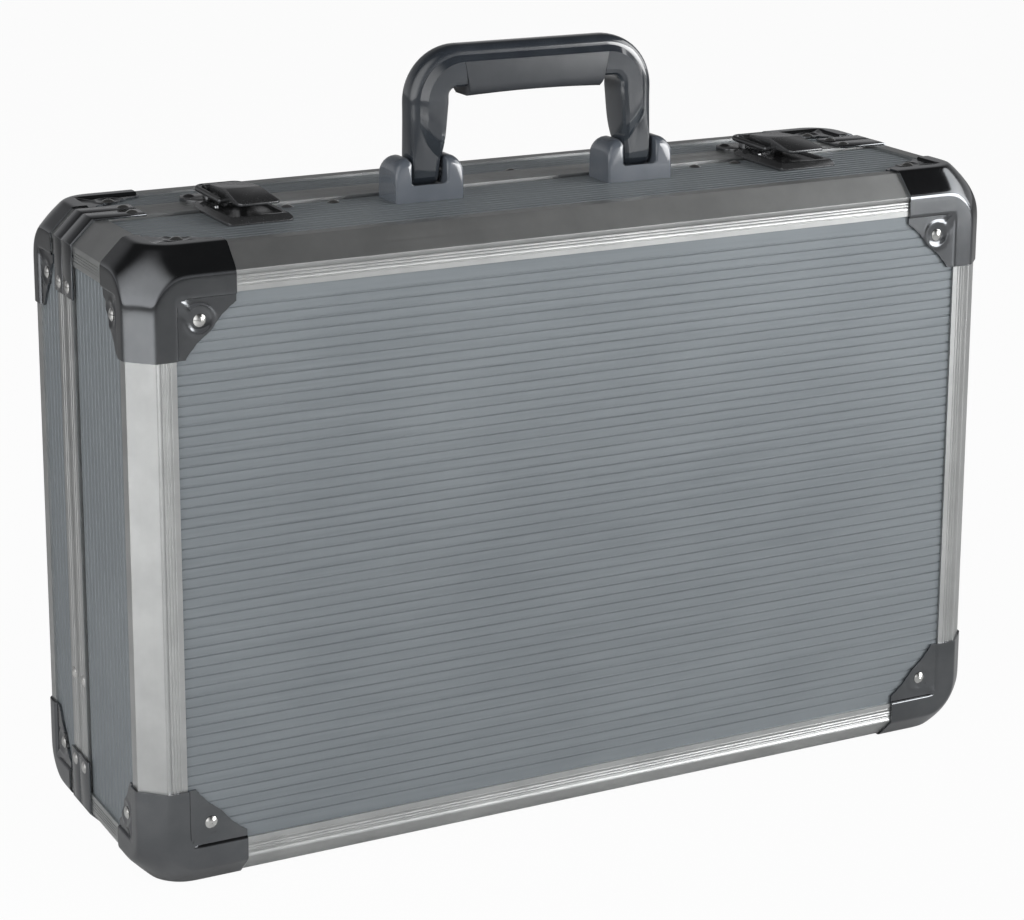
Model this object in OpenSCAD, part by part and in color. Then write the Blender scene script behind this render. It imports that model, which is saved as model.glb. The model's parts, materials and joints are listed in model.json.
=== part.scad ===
// Framed hard attache case, closed and standing on its hinge side.
// Two halves of grooved panels in chamfered aluminium profiles, pressed corner
// caps and seam straps, a folding carrying handle, two draw latches, a long
// hinge along the lower edge and a folding stay at each end inside.
// Millimetres. X runs along the width, +Y towards the shallow half, +Z up.
// The origin is under the middle of the case, on the surface it stands on.

/* [Case] */
// Width over the frame, end to end
case_w = 460; // [400:1:520]
// Height over the frame, hinge side to handle side
case_h = 302; // [260:1:360]
// Depth of the deep half, face to parting plane
base_d = 93; // [84:1:120]
// Depth of the shallow half, face to parting plane
lid_d = 55; // [52:1:80]
// Gap between the halves at the parting plane
parting_gap = 0.4; // [0.3:0.1:0.8]

/* [Frame profiles] */
// Leg of the 45 degree chamfer
chamfer = 10.5; // [8:0.5:13]
// Width of the ribbed flats
flat_wide = 9.8; // [8:0.2:12]
// Width of the plain flats
flat_narrow = 6.8; // [5:0.2:9]
// Thickness of the lips that hold the panels
lip_t = 1.2; // [1:0.1:1.6]
// Thickness of the chamfer's skin
skin_t = 1.6; // [1.2:0.1:2.2]
// How far a panel's edge stands back from the chamfer's end
slot_back = 2; // [1.5:0.5:3]
// How much shorter the inner lips are than the outer ones
lip_short = 3; // [2:0.5:4]
// Spacing of the fine ribs on the flats
rib_pitch = 1.4; // [1:0.1:2]
// Depth of the fine ribs
rib_depth = 0.25; // [0.15:0.05:0.4]

/* [Panels] */
// Thickness of the panels
panel_t = 3; // [2.4:0.2:4]
// Spacing of the panel grooves
groove_pitch = 4.76; // [3.5:0.02:7]
// Width of a panel groove
groove_w = 1.1; // [0.6:0.1:2]
// Depth of a panel groove
groove_depth = 0.45; // [0.2:0.05:0.8]

/* [Seam] */
// Width of a seam profile, away from the parting plane
seam_w = 10.6; // [9:0.2:12]
// Height of a seam profile, from its outer face inwards
seam_t = 7.4; // [6.8:0.2:9]
// Shadow gap between a wall and the seam profile
seam_gap = 2; // [1:0.5:3]
// Reach of the flange that carries the wall, past the gap
flange_reach = 8; // [5:1:12]
// Thickness of the tongue on the lid's seam profiles
tongue_t = 1.4; // [1:0.1:2]
// How far the tongue stands past the parting plane
tongue_len = 2.4; // [1.5:0.1:3]
// Play between the tongue and its groove, each side
tongue_play = 0.35; // [0.25:0.05:0.6]

/* [Corner caps and straps] */
// Sheet thickness of caps and straps
cap_t = 1.2; // [1:0.1:1.5]
// Reach of a cap along the width and the height
cap_len = 49; // [42:1:56]
// Reach of a cap along the depth
cap_depth = 38; // [32:1:40]
// Radius at which the cap's face outline turns the corner
corner_r = 17; // [12:1:20]
// How far a cap's ears reach past the frame onto the panels
ear_margin = 6; // [4:0.5:8]
// Length of a strap from the corner
strap_len = 36.5; // [32:0.5:42]
// Width of a strap on the deep half
strap_w_base = 13.6; // [12:0.2:16]
// Width of a strap on the shallow half
strap_w_lid = 11.6; // [11:0.2:13]
// Radius of a rivet head
rivet_r = 3; // [2:0.1:3.6]
// Height of a rivet head
rivet_h = 1.1; // [0.6:0.1:1.1]
// Place of the cap rivets from the corner, along the width and the height
cap_rivet = 31.5; // [28:0.5:34]
// Place of the cap rivets from the face, along the depth
cap_rivet_d = 27.5; // [25:0.5:29]

/* [Lining] */
// Thickness of the lining on the walls
lining_t = 2; // [1.5:0.5:3]
// Thickness of the lining pad on the big faces
pad_t = 3; // [2:0.5:8]
// Cut across the lining's long corners
lining_cut = 16; // [15.5:0.5:24]

/* [Hinge] */
// Length of the hinge
hinge_len = 360; // [280:20:380]
// Length that one knuckle takes
knuckle_pitch = 20; // [15:5:30]
// Outer radius of a knuckle
knuckle_r = 2.3; // [2:0.1:2.4]
// Radius of the hinge pin
hinge_pin_r = 1.2; // [1:0.1:1.3]
// Height of the hinge axis over the frame's lower face
hinge_rise = 1.7; // [1.6:0.1:2.2]
// Thickness of a hinge leaf
leaf_t = 0.9; // [0.7:0.1:1.1]
// Largest opening of the lid, in degrees
lid_open = 95; // [90:1:100]

/* [Lid stays] */
// Height of the stays' end pivots over the hinge axis
stay_rise = 74; // [60:1:90]
// Distance of the end pivots from the parting plane
stay_out = 6.4; // [5:0.2:7]
// Width of a stay arm
arm_w = 9; // [7:0.5:11]
// Thickness of a stay arm
arm_t = 1.5; // [1.2:0.1:2]
// Radius of the stay pivots
stay_pin_r = 1.5; // [1.2:0.1:2]

/* [Handle] */
// Distance of the handle's plane in front of the parting plane
handle_out = 25; // [24:0.5:30]
// Width over the handle's legs
handle_w = 133; // [120:1:150]
// Height of the pivot axis over the top wall
pivot_rise = 13.2; // [12:0.2:15]
// Height of the handle's top over the pivot axis
handle_rise = 60.6; // [56:0.2:72]
// Height of the handle's bar, and width of its legs at the shoulders
bar_h = 20; // [17:0.5:22]
// Depth of the bar, front to back
bar_d = 21; // [19:0.5:24]
// Outer radius of the shoulders
shoulder_r = 27; // [25:0.5:30]
// Rounding of the bar's edges
bar_round = 6; // [4:0.5:8]
// Width of a leg at its pivot
leg_w = 15.5; // [13:0.5:16.5]
// Depth of a leg at its pivot
leg_d = 13.6; // [12:0.2:14.4]
// Thickness of the handle's bridge over the grip
bridge_t = 7.6; // [6:0.2:9]
// How far the grip hangs under the bar
grip_drop = 5; // [3:0.5:7]
// Rise of the grip's lower side at its middle
grip_arch = 1.5; // [0:0.5:3]
// Depth of the core that the grip wraps
core_d = 12; // [9:0.5:14]
// Radius of the handle's pivot pins
handle_pin_r = 2; // [1.6:0.1:2.4]

/* [Handle brackets] */
// Width of a bracket
bracket_w = 36; // [34:0.5:40]
// Depth of a bracket at its foot
bracket_d = 21.6; // [20:0.2:22]
// Height of a bracket
bracket_h = 21; // [20:0.5:23]
// Width of the slot for the leg
slot_w = 18.6; // [17.5:0.1:20]
// Height of the sill in front of and behind the leg
sill_h = 8; // [7:0.2:8.4]
// Rounding of the ears
ear_round = 8; // [5:0.5:9]
// Draft of the bracket's front and back, per side, from foot to top
bracket_draft = 2.4; // [1:0.2:3]

/* [Latches] */
// Distance of each latch's middle from the case's end
latch_inset = 80; // [72:1:95]
// Width of the latch's base plate
tray_w = 33; // [31:0.5:38]
// Length of the base plate
tray_l = 47; // [47:0.5:52]
// Height of the base plate over the wall
tray_h = 3.6; // [3.2:0.1:4]
// Sheet thickness of plate, lever and keeper
sheet_t = 1.2; // [1:0.1:1.4]
// Distance of the bow's pivots in front of the parting plane
bow_out = 24; // [22:0.5:26]
// Height of the bow's pivots over the wall
bow_rise = 7.4; // [7:0.1:8]
// Distance of the lever's pivot in front of the parting plane
lever_axis_out = 7; // [6.5:0.1:8]
// Height of the lever's pivot over the wall
lever_axis_rise = 7; // [6.8:0.1:7.6]
// Radius of the lever's pivot pin
lever_pin_r = 1.5; // [1.2:0.1:1.6]
// Distance of the bow's cross bar behind the parting plane
bar_back = 9.1; // [8.6:0.1:10]
// Height of the bow's cross bar over the wall
bar_rise = 8; // [7.8:0.1:8.6]
// Radius of the bow's wire
wire_r = 1.4; // [1.2:0.1:1.6]
// Distance between the middles of the bow's arms
bow_w = 22.4; // [22:0.1:24]
// Radius of the bow's bends
bow_bend = 4; // [3:0.5:4.5]
// Width of the lever at its free edge
lever_w_front = 20.6; // [19:0.2:22]
// Width of the lever at its ridge and behind
lever_w = 17.4; // [16:0.2:17.6]
// Distance of the lever's free edge in front of the parting plane
lever_out = 46; // [44:0.5:47]
// Height of the lever's free edge over the wall
lever_lip = 9.7; // [9.4:0.1:10.4]
// Height of the lever's ridge over the wall
ridge_rise = 13; // [12:0.1:14.5]
// Depth of the lever's turned-down sides
cheek_h = 3.2; // [2.4:0.1:4]
// Width of the keeper on the lid
keeper_w = 35; // [32:0.5:38]
// Length of the keeper, away from the parting plane
keeper_l = 18; // [16:0.5:20]
// Height of the keeper's plate over the wall
keeper_h = 3; // [2.8:0.1:3.4]

/* [Wall rivets] */
// Places of the two rivets in the space from a handle bracket to a latch, as shares
handle_rivet_near = 0.43; // [0.2:0.01:0.45]
handle_rivet_far = 0.85; // [0.7:0.01:0.88]
// Distance of those rivets in front of the parting plane
handle_rivet_back = 17; // [16:0.5:30]
// Place of the middle of the two rivets on the lid's top wall
lid_rivet_x = -3.5; // [-20:0.5:20]
// Spacing of those two rivets
lid_rivet_step = 30; // [20:1:60]
// Distance of the latch plates' rivets from the latch's middle line
plate_rivet_x = 13; // [12.6:0.1:14]
// Distance of the keepers' rivets behind the parting plane
keeper_rivet_y = 13.2; // [12.8:0.1:15]

/* [Hidden] */

// Running play of a pin in its bore, on the radius
pin_play = 0.06;
// Free space between parts that pass each other
pass_gap = 0.3;
// Colours
satin = [0.76, 0.76, 0.74];
skin_grey = [0.47, 0.50, 0.52];
cap_black = [0.16, 0.17, 0.18];
rivet_silver = [0.85, 0.85, 0.84];
plastic_blue = [0.25, 0.28, 0.33];
grip_grey = [0.22, 0.23, 0.25];
latch_black = [0.13, 0.13, 0.14];
lining_grey = [0.30, 0.31, 0.33];
steel = [0.62, 0.62, 0.62];

case_d = base_d + lid_d;
parting_y = base_d - case_d / 2;
// Outer face of the top wall, where handle and latches sit
wall_z = cap_t + case_h - lip_t;
// A panel's outer face stands this far under the frame
recess = lip_t;
// Where a panel's edge lies in its slot, from the frame's outer faces
slot_in = chamfer + slot_back;
// Inner face of the inner lips
inner = lip_t + panel_t + lip_t;
// Offset of an outer corner line when a chamfered face moves out by one
half_turn = tan(22.5);
// Where the profiles are cut off under the corner caps
trim = 2 * chamfer + corner_r;
hinge_z = hinge_rise;
// Half angle of the relief under the hinge axis, from straight down
relief_slope = tan(lid_open / 2 + 1);
latch_x = case_w / 2 - latch_inset;

// ---------- shared shapes ----------

// A half is drawn with its big face at y = 0, its parting plane at y = depth
// and its frame from z = 0 to case_h; these two put it in its place.
module in_base() translate([0, -case_d / 2, cap_t]) children();
module in_lid() translate([0, case_d / 2, cap_t]) mirror([0, 1, 0]) children();

// A bar drawn along X at the lower side, z = 0 its outer face, goes to a side.
module at_side(side) {
  if (side == "bottom") children();
  if (side == "top") translate([0, 0, case_h]) mirror([0, 0, 1]) children();
  if (side == "left") translate([-case_w / 2, 0, case_h / 2]) rotate([0, 90, 0]) children();
  if (side == "right") translate([case_w / 2, 0, case_h / 2]) rotate([0, -90, 0]) children();
}
function side_len(side) = side == "top" || side == "bottom" ? case_w : case_h;
SIDES = ["top", "bottom", "left", "right"];

// Extrudes a (y, z) outline along X.
module along_x(len) rotate([90, 0, 90]) linear_extrude(len, center = true) children();
// Extrudes an (x, z) outline along Y, from y0 to y1.
module along_y(y0, y1) translate([0, y1, 0]) rotate([90, 0, 0]) linear_extrude(y1 - y0) children();

// A corner is drawn at the lower left, inwards being positive on each axis.
module at_corner(right, top) {
  translate([right ? case_w / 2 : -case_w / 2, 0, top ? case_h : 0])
    mirror([right ? 1 : 0, 0, 0]) mirror([0, 0, top ? 1 : 0]) children();
}

// Points of an arc, for outlines.
function arc(cx, cy, r, a0, a1, n = 6) =
  [for (i = [0:n]) [cx + r * cos(a0 + (a1 - a0) * i / n), cy + r * sin(a0 + (a1 - a0) * i / n)]];

// Rectangle with its own radius at the low and the high corners.
function round_rect(x0, x1, z0, z1, r_low, r_high, n = 5) = concat(
  arc(x1 - r_low, z0 + r_low, r_low, -90, 0, n), arc(x1 - r_high, z1 - r_high, r_high, 0, 90, n),
  arc(x0 + r_high, z1 - r_high, r_high, 90, 180, n), arc(x0 + r_low, z0 + r_low, r_low, 180, 270, n));

// Points of a row of grooves along an edge at height v, from u0 to u1,
// each w wide and dep deep, centred on the edge.
function grooves(u0, u1, v, pitch, w, dep) =
  let (count = floor((u1 - u0 - w - pitch) / pitch), first = (u0 + u1) / 2 - count * pitch / 2)
  [for (i = [0:count]) let (u = first + i * pitch)
    each [[u - w / 2, v], [u - w / 4, v + dep], [u + w / 4, v + dep], [u + w / 2, v]]];

function reversed(list) = [for (i = [len(list) - 1:-1:0]) list[i]];

// ---------- frame profiles ----------

// Fine ribs in the middle of a wide flat; the narrow flats are plain.
function ribs(on) = on < 8 ? [] :
  grooves(chamfer + 1.6, chamfer + on - 1.6, 0, rib_pitch, rib_pitch / 2, rib_depth);

// Section of an edge profile: (a, b) are the distances inwards from its two
// outer faces, on_b and on_a the widths of the flats along them.
function edge_section(on_b, on_a) = let (
    web = chamfer + skin_t * sqrt(2), reach_b = chamfer + on_b, reach_a = chamfer + on_a)
  concat(
    [[0, reach_a]],
    [for (p = reversed(ribs(on_a))) [p[1], p[0]]],
    [[0, chamfer], [chamfer, 0]],
    ribs(on_b),
    [[reach_b, 0], [reach_b, lip_t], [slot_in, lip_t], [slot_in, lip_t + panel_t],
      [reach_b - lip_short, lip_t + panel_t], [reach_b - lip_short, inner], [web - inner, inner],
      [inner, web - inner], [inner, reach_a - lip_short], [lip_t + panel_t, reach_a - lip_short],
      [lip_t + panel_t, slot_in], [lip_t, slot_in], [lip_t, reach_a]]);

// One bar of the front or back frame, cut short under the caps.
module edge_bar(side) {
  len = side_len(side);
  deep = chamfer + flat_wide + 1;
  short = deep - 0.6;
  section = edge_section(flat_wide, flat_narrow);
  intersection() {
    // a runs down from the outer side face, b from the big face
    along_x(len) polygon([for (p = section) [p[1], p[0]]]);
    along_y(-1, chamfer + flat_narrow + 1) polygon([
      [-len / 2 + trim, 0], [len / 2 - trim, 0], [len / 2 - short, trim - short],
      [len / 2 - short, deep], [-len / 2 + short, deep], [-len / 2 + short, trim - short]]);
  }
}
// Web that joins two bars under a cap, within the thickness of their lips.
module corner_web() {
  start = slot_in + 0.5;
  outer = trim - corner_r / 4;
  inner_side = 2 * (chamfer + flat_wide);
  along_y(rib_depth + 0.05, lip_t - 0.1) polygon([[outer - start, start], [start, outer - start],
    [start, inner_side - start], [inner_side - start, start]]);
}
module edge_frame() color(satin) {
  for (s = SIDES) at_side(s) edge_bar(s);
  for (right = [false, true], top = [false, true]) at_corner(right, top) corner_web();
}

// Posts along the depth at the four long corners, from under the cap to the seam.
module corner_posts(depth) color(satin)
  for (right = [false, true], top = [false, true]) at_corner(right, top)
    along_y(chamfer + corner_r, depth - seam_w)
      polygon([for (p = edge_section(flat_narrow, flat_wide)) [p[0], p[1]]]);

// ---------- panels ----------

module face_panel() color(skin_grey) {
  lo = slot_in;
  hi_z = case_h - slot_in;
  half = case_w / 2 - slot_in;
  cut = corner_r / 2;
  intersection() {
    rotate([90, 0, 90]) linear_extrude(case_w, center = true) polygon(concat(
      [for (p = grooves(lo + flat_wide, hi_z - flat_wide, recess, groove_pitch, groove_w, groove_depth))
        [p[1], p[0]]],
      [[recess, hi_z], [recess + panel_t, hi_z], [recess + panel_t, lo], [recess, lo]]));
    along_y(0, recess + panel_t + 1) polygon([
      [-half + cut, lo], [half - cut, lo], [half, lo + cut], [half, hi_z - cut],
      [half - cut, hi_z], [-half + cut, hi_z], [-half, hi_z - cut], [-half, lo + cut]]);
  }
}

module wall(side, depth) color(skin_grey) {
  half = side_len(side) / 2 - slot_in;
  end = depth - seam_w - seam_gap;
  cut = corner_r / 2;
  at_side(side) intersection() {
    along_x(2 * half) polygon(concat(
      [[slot_in, recess]],
      grooves(slot_in + flat_narrow, end, recess, groove_pitch, groove_w, groove_depth),
      [[end, recess], [end, recess + panel_t], [slot_in, recess + panel_t]]));
    linear_extrude(recess + panel_t + 1) polygon([
      [-half, end + 1], [-half, slot_in + cut], [-half + cut, slot_in],
      [half - cut, slot_in], [half, slot_in + cut], [half, end + 1]]);
  }
}

// ---------- seam ----------

// What is cut away round the hinge axis so that the lid can swing down.
module hinge_relief(depth) {
  low = hinge_z + cap_t + 1;
  along_x(case_w + 20) polygon([[depth, hinge_z], [depth - low * relief_slope, hinge_z - low],
    [depth + low * relief_slope, hinge_z - low]]);
  along_x(hinge_len + 1) translate([depth, hinge_z]) circle(knuckle_r + pass_gap, $fn = 32);
  translate([-hinge_len / 2 - 0.5, depth - seam_w - 1, -1])
    cube([hinge_len + 1, seam_w + 2, hinge_z + leaf_t + 1]);
}

// Seam bar: a mitred box along the parting plane with a flange under the wall.
// kind is "groove", "tongue" or "plain".
module seam_bar(side, depth, kind) {
  len = side_len(side);
  face = depth - parting_gap / 2;
  mid = seam_t / 2;
  half = tongue_t / 2;
  play = tongue_play;
  parting = kind == "groove"
    ? [[face, mid - half - play], [face - tongue_len - play, mid - half - play],
       [face - tongue_len - play, mid + half + play], [face, mid + half + play]]
    : kind == "tongue"
    ? [[face, mid - half], [depth + tongue_len, mid - half],
       [depth + tongue_len, mid + half], [face, mid + half]]
    : [];
  intersection() {
    along_x(len) polygon(concat(
      grooves(depth - seam_w + 1, face - 1, 0, rib_pitch * 2, rib_pitch / 2, rib_depth),
      [[face, 0]], parting, [[face, seam_t], [depth - seam_w, seam_t], [depth - seam_w, 0]]));
    along_y(0, depth + tongue_len + 1) polygon([
      [-len / 2 + chamfer, 0], [len / 2 - chamfer, 0], [len / 2 - chamfer / 2, chamfer / 2],
      [len / 2 - seam_t - 1, seam_t + 1], [-len / 2 + seam_t + 1, seam_t + 1],
      [-len / 2 + chamfer / 2, chamfer / 2]]);
  }
  flange = recess + panel_t;
  stop = chamfer + flat_wide + 2;
  translate([-len / 2 + stop, depth - seam_w - seam_gap - flange_reach, flange])
    cube([len - 2 * stop, seam_gap + flange_reach + 1, lip_t]);
}

module seam(side, depth, kind) color(satin) difference() {
  at_side(side) seam_bar(side, depth, side == "bottom" ? "plain" : kind);
  hinge_relief(depth);
}

// ---------- corner caps, straps and rivets ----------

// Outline of a cap's cover on one face, grown by o: straight along both edges
// and turning the corner at corner_r.
function cover(a, b, o) = let (lo = chamfer - o * half_turn, k = chamfer + corner_r)
  concat(arc(k, k, k - lo, 180, 270, 7), [[a, lo], [a, b], [lo, b]]);

// The case's corner as a solid, grown outwards by o.
module corner_block(o, l, d) hull() {
  translate([0, -o + 0.01, 0]) rotate([90, 0, 0]) linear_extrude(0.01) polygon(cover(l, l, o));
  translate([-o, 0, 0]) rotate([90, 0, 90]) linear_extrude(0.01) polygon(cover(d, l, o));
  translate([0, 0, -o]) linear_extrude(0.01) polygon(cover(l, d, o));
}

// Ear of a cap on one panel: (u, v) outline from the frame's inner edges eu and
// ev to the cap's ends lu and lv, cut across the corner in a shallow hollow.
module cap_ear(eu, ev, lu, lv, t0, t1) {
  bite = 3;
  mu = eu + ear_margin;
  mv = ev + ear_margin;
  translate([0, 0, t0]) linear_extrude(t1 - t0) polygon([
    [eu, ev], [lu, ev], [lu, mv - 2], [lu - bite, mv],
    [mu + (lu - mu) * 0.68, mv + (lv - mv) * 0.16], [mu + (lu - mu) * 0.45, mv + (lv - mv) * 0.45],
    [mu + (lu - mu) * 0.16, mv + (lv - mv) * 0.68],
    [mu, lv - bite], [mu - 2, lv], [eu, lv]]);
}
// The step from the cap's cover down to its ear.
module cap_step(eu, ev, lu, lv) {
  w = cap_t;
  translate([0, 0, -cap_t]) linear_extrude(cap_t + recess)
    polygon([[eu, ev], [lu, ev], [lu, ev + w], [eu + w, ev + w], [eu + w, lv], [eu, lv]]);
}
// Stands a (u, v, height inwards) ear on the big face, the end face or the top face.
module on_face() mirror([0, 1, -1]) children();
module on_end() rotate([90, 0, 90]) children();

module corner_cap() color(cap_black) {
  play = 0.2;
  wide = chamfer + flat_wide + play;
  narrow = chamfer + flat_narrow + play;
  far = cap_len + cap_depth;
  difference() {
    corner_block(cap_t, cap_len, cap_depth);
    corner_block(0, cap_len + 2, cap_depth + 2);
    // big face, end face and top face are open past the frame's flats
    translate([wide + cap_t, -far, wide + cap_t]) cube([far, 2 * far, far]);
    translate([-far, narrow + cap_t, wide + cap_t]) cube([2 * far, far, far]);
    translate([narrow + cap_t, narrow + cap_t, -far]) cube([far, far, 2 * far]);
  }
  on_face() cap_ear(wide, wide, cap_len, cap_len, 0, recess);
  on_face() cap_step(wide, wide, cap_len, cap_len);
  on_end() cap_ear(narrow, wide, cap_depth, cap_len, 0, recess);
  on_end() cap_step(narrow, wide, cap_depth, cap_len);
  cap_ear(narrow, narrow, cap_len, cap_depth, 0, recess);
  cap_step(narrow, narrow, cap_len, cap_depth);
}

// Strap round a long corner beside the parting plane, seat at height z = 0.
module seam_strap(depth, width) {
  lo = chamfer - cap_t * half_turn;
  along_y(depth - width, depth - parting_gap / 2) polygon([
    [strap_len, -cap_t], [lo, -cap_t], [-cap_t, lo], [-cap_t, strap_len],
    [0, strap_len], [0, chamfer], [chamfer, 0], [strap_len, 0]]);
}
module seam_straps(depth, width) color(cap_black) difference() {
  for (right = [false, true], top = [false, true]) at_corner(right, top) seam_strap(depth, width);
  hinge_relief(depth);
}

// Domed rivet head standing on z = 0.
module rivet() {
  dome = (rivet_r * rivet_r + rivet_h * rivet_h) / (2 * rivet_h);
  intersection() {
    translate([0, 0, rivet_h - dome]) sphere(dome);
    cylinder(h = rivet_h + 1, r = rivet_r);
  }
}
// Stands a rivet on a face whose outward normal is -Y, -X or -Z.
module rivet_on_face(x, z, out = 0) translate([x, -out, z]) rotate([90, 0, 0]) rivet();
module rivet_on_end(y, z, out = 0) translate([-out, y, z]) rotate([0, -90, 0]) rivet();
module rivet_on_side(x, y, out = 0) translate([x, y, -out]) rotate([180, 0, 0]) rivet();

// Rivets of the caps, of the straps and of the stays' pivots. The strap ends
// under the case have none, so that it stands on caps and straps alone.
module half_rivets(depth, strap_w) {
  mid = depth - strap_w / 2;
  for (right = [false, true], top = [false, true]) at_corner(right, top) {
    rivet_on_face(cap_rivet, cap_rivet);
    rivet_on_end(cap_rivet_d, cap_rivet);
    rivet_on_side(cap_rivet, cap_rivet_d);
    rivet_on_end(mid, cap_rivet, cap_t);
    if (top) rivet_on_side(cap_rivet, mid, cap_t);
  }
  for (right = [false, true]) at_corner(right, false)
    rivet_on_end(depth - stay_out, hinge_z + stay_rise);
}

// ---------- lining ----------

// Solid with cut edges, inset from the half's outer faces; slope is where its
// cut edges meet the outer faces, measured from the sharp edge.
module lining_block(slope, inset, y_face, y_end) {
  w = case_w / 2;
  cut = slope - inset;
  lead = slope - y_face;
  function ring(i, c) = [[-w + i + c, i], [w - i - c, i], [w - i, i + c], [w - i, case_h - i - c],
    [w - i - c, case_h - i], [-w + i + c, case_h - i], [-w + i, case_h - i - c], [-w + i, i + c]];
  hull() {
    along_y(y_face, y_face + 0.01) polygon(ring(lead, cut));
    along_y(lead, y_end) polygon(ring(inset, cut));
  }
}
module lining(depth) color(lining_grey) difference() {
  lining_block(lining_cut, inner, inner, depth - seam_w);
  lining_block(lining_cut + lining_t * sqrt(2), inner + lining_t, inner + pad_t, depth + 1);
}

// ---------- hinge ----------

// Leaf with its knuckles; own says which of every two knuckles are this leaf's.
module hinge_leaf(depth, own) color(satin) {
  count = round(hinge_len / knuckle_pitch);
  first = -count * knuckle_pitch / 2;
  difference() {
    union() {
      translate([-hinge_len / 2, depth - seam_w, hinge_z]) cube([hinge_len, seam_w, leaf_t]);
      for (i = [own:2:count - 1])
        translate([first + i * knuckle_pitch + pass_gap / 2, depth, hinge_z])
          rotate([0, 90, 0]) cylinder(h = knuckle_pitch - pass_gap, r = knuckle_r);
    }
    for (i = [1 - own:2:count - 1])
      translate([first + i * knuckle_pitch - pass_gap / 2, depth, hinge_z])
        rotate([0, 90, 0]) cylinder(h = knuckle_pitch + pass_gap, r = knuckle_r + pass_gap);
    along_x(hinge_len + 2) translate([depth, hinge_z]) circle(hinge_pin_r + pin_play);
  }
}

// ---------- lid stays ----------

// Two arms fold between pins near the seam; arms and hinge make a rhombus.
stay_len = sqrt(stay_out * stay_out + stay_rise * stay_rise);
stay_lean = atan(stay_out / stay_rise);
base_arm_x = seam_t + 0.4;
lid_arm_x = base_arm_x + arm_t + pass_gap;
stay_head = 0.9;

module at_end(right) mirror([right ? 1 : 0, 0, 0]) translate([-case_w / 2, 0, cap_t]) children();
module along_pin(x0, x1, r) translate([x0, 0, 0]) rotate([0, 90, 0]) cylinder(h = x1 - x0, r = r);

module arm_plate(x0, end_r) translate([x0, 0, 0]) rotate([90, 0, 90]) linear_extrude(arm_t)
  difference() {
    union() {
      circle(arm_w / 2);
      translate([-arm_w / 2, 0]) square([arm_w, stay_len]);
      translate([0, stay_len]) circle(arm_w / 2);
    }
    circle(stay_pin_r + pin_play);
    translate([0, stay_len]) circle(end_r);
  }
// Arm on the deep half, with the knee rivet at its free end.
module stay_base_arm(right) color(steel) at_end(right)
  translate([0, parting_y - stay_out, hinge_z + stay_rise]) rotate([-stay_lean, 0, 0]) {
    arm_plate(base_arm_x, stay_pin_r);
    translate([0, 0, stay_len]) {
      along_pin(base_arm_x, lid_arm_x + arm_t + 0.2, stay_pin_r);
      along_pin(lid_arm_x + arm_t + 0.15, lid_arm_x + arm_t + 0.15 + stay_head, 2 * stay_pin_r);
    }
  }
module stay_lid_arm(right) color(steel) at_end(right)
  translate([0, parting_y + stay_out, hinge_z + stay_rise]) rotate([stay_lean, 0, 0])
    arm_plate(lid_arm_x, stay_pin_r + 0.25);
// Pins of the arms on the seam profiles, side -1 on the deep half, +1 on the other.
module stay_pins(side) color(steel) for (right = [false, true]) at_end(right)
  translate([0, parting_y + side * stay_out, hinge_z + stay_rise]) {
    arm_x = side < 0 ? base_arm_x : lid_arm_x;
    along_pin(seam_t, arm_x - 0.1, stay_pin_r + 1.6);
    along_pin(seam_t, arm_x + arm_t + 0.2, stay_pin_r);
    along_pin(arm_x + arm_t + 0.1, arm_x + arm_t + 0.1 + stay_head, stay_pin_r + 1.4);
  }

// ---------- handle ----------

handle_y = parting_y - handle_out;
handle_z = wall_z + pivot_rise;
leg_x = (handle_w - leg_w) / 2 - 0.75;
// The foot is round about the pivot, so it clears the sills as it folds.
leg_r = leg_d / 2;
grip_half = handle_w / 2 - shoulder_r + 0.5;

module at_handle() translate([0, handle_y, handle_z]) children();

// Front outline of the handle: legs, shoulders and bar.
module handle_outline() {
  half = handle_w / 2;
  low = handle_rise - bar_h;
  in_foot = leg_x - leg_w / 2;
  in_top = half - leg_w - 4;
  k = shoulder_r;
  difference() {
    polygon(concat(
      [[leg_x + leg_w / 2 - 2, -leg_r], [leg_x + leg_w / 2, -leg_r + 2]],
      arc(half - k, handle_rise - k, k, 0, 90, 10),
      arc(-half + k, handle_rise - k, k, 90, 180, 10),
      [[-leg_x - leg_w / 2, -leg_r + 2], [-leg_x - leg_w / 2 + 2, -leg_r]]));
    polygon(concat(
      [[in_foot + 1, -leg_r - 1], [in_foot, -leg_r + 1.5]],
      arc(in_top - 4, low - 4, 4, 0, 90, 5), arc(-in_top + 4, low - 4, 4, 90, 180, 5),
      [[-in_foot, -leg_r + 1.5], [-in_foot - 1, -leg_r - 1]]));
  }
}
// Side outline: slim legs, a deeper bar with rounded edges.
module handle_profile() {
  low = handle_rise - bar_h;
  b = bar_d / 2;
  circle(leg_r);
  polygon(concat(
    [[-leg_r, 0], [leg_r, 0], [leg_r, low - 14], [b - 1, low - 2], [b, low + 2]],
    arc(b - bar_round, handle_rise - bar_round, bar_round, 0, 90, 6),
    arc(-b + bar_round, handle_rise - bar_round, bar_round, 90, 180, 6),
    [[-b, low + 2], [-b + 1, low - 2], [-leg_r, low - 14]]));
}
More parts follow.
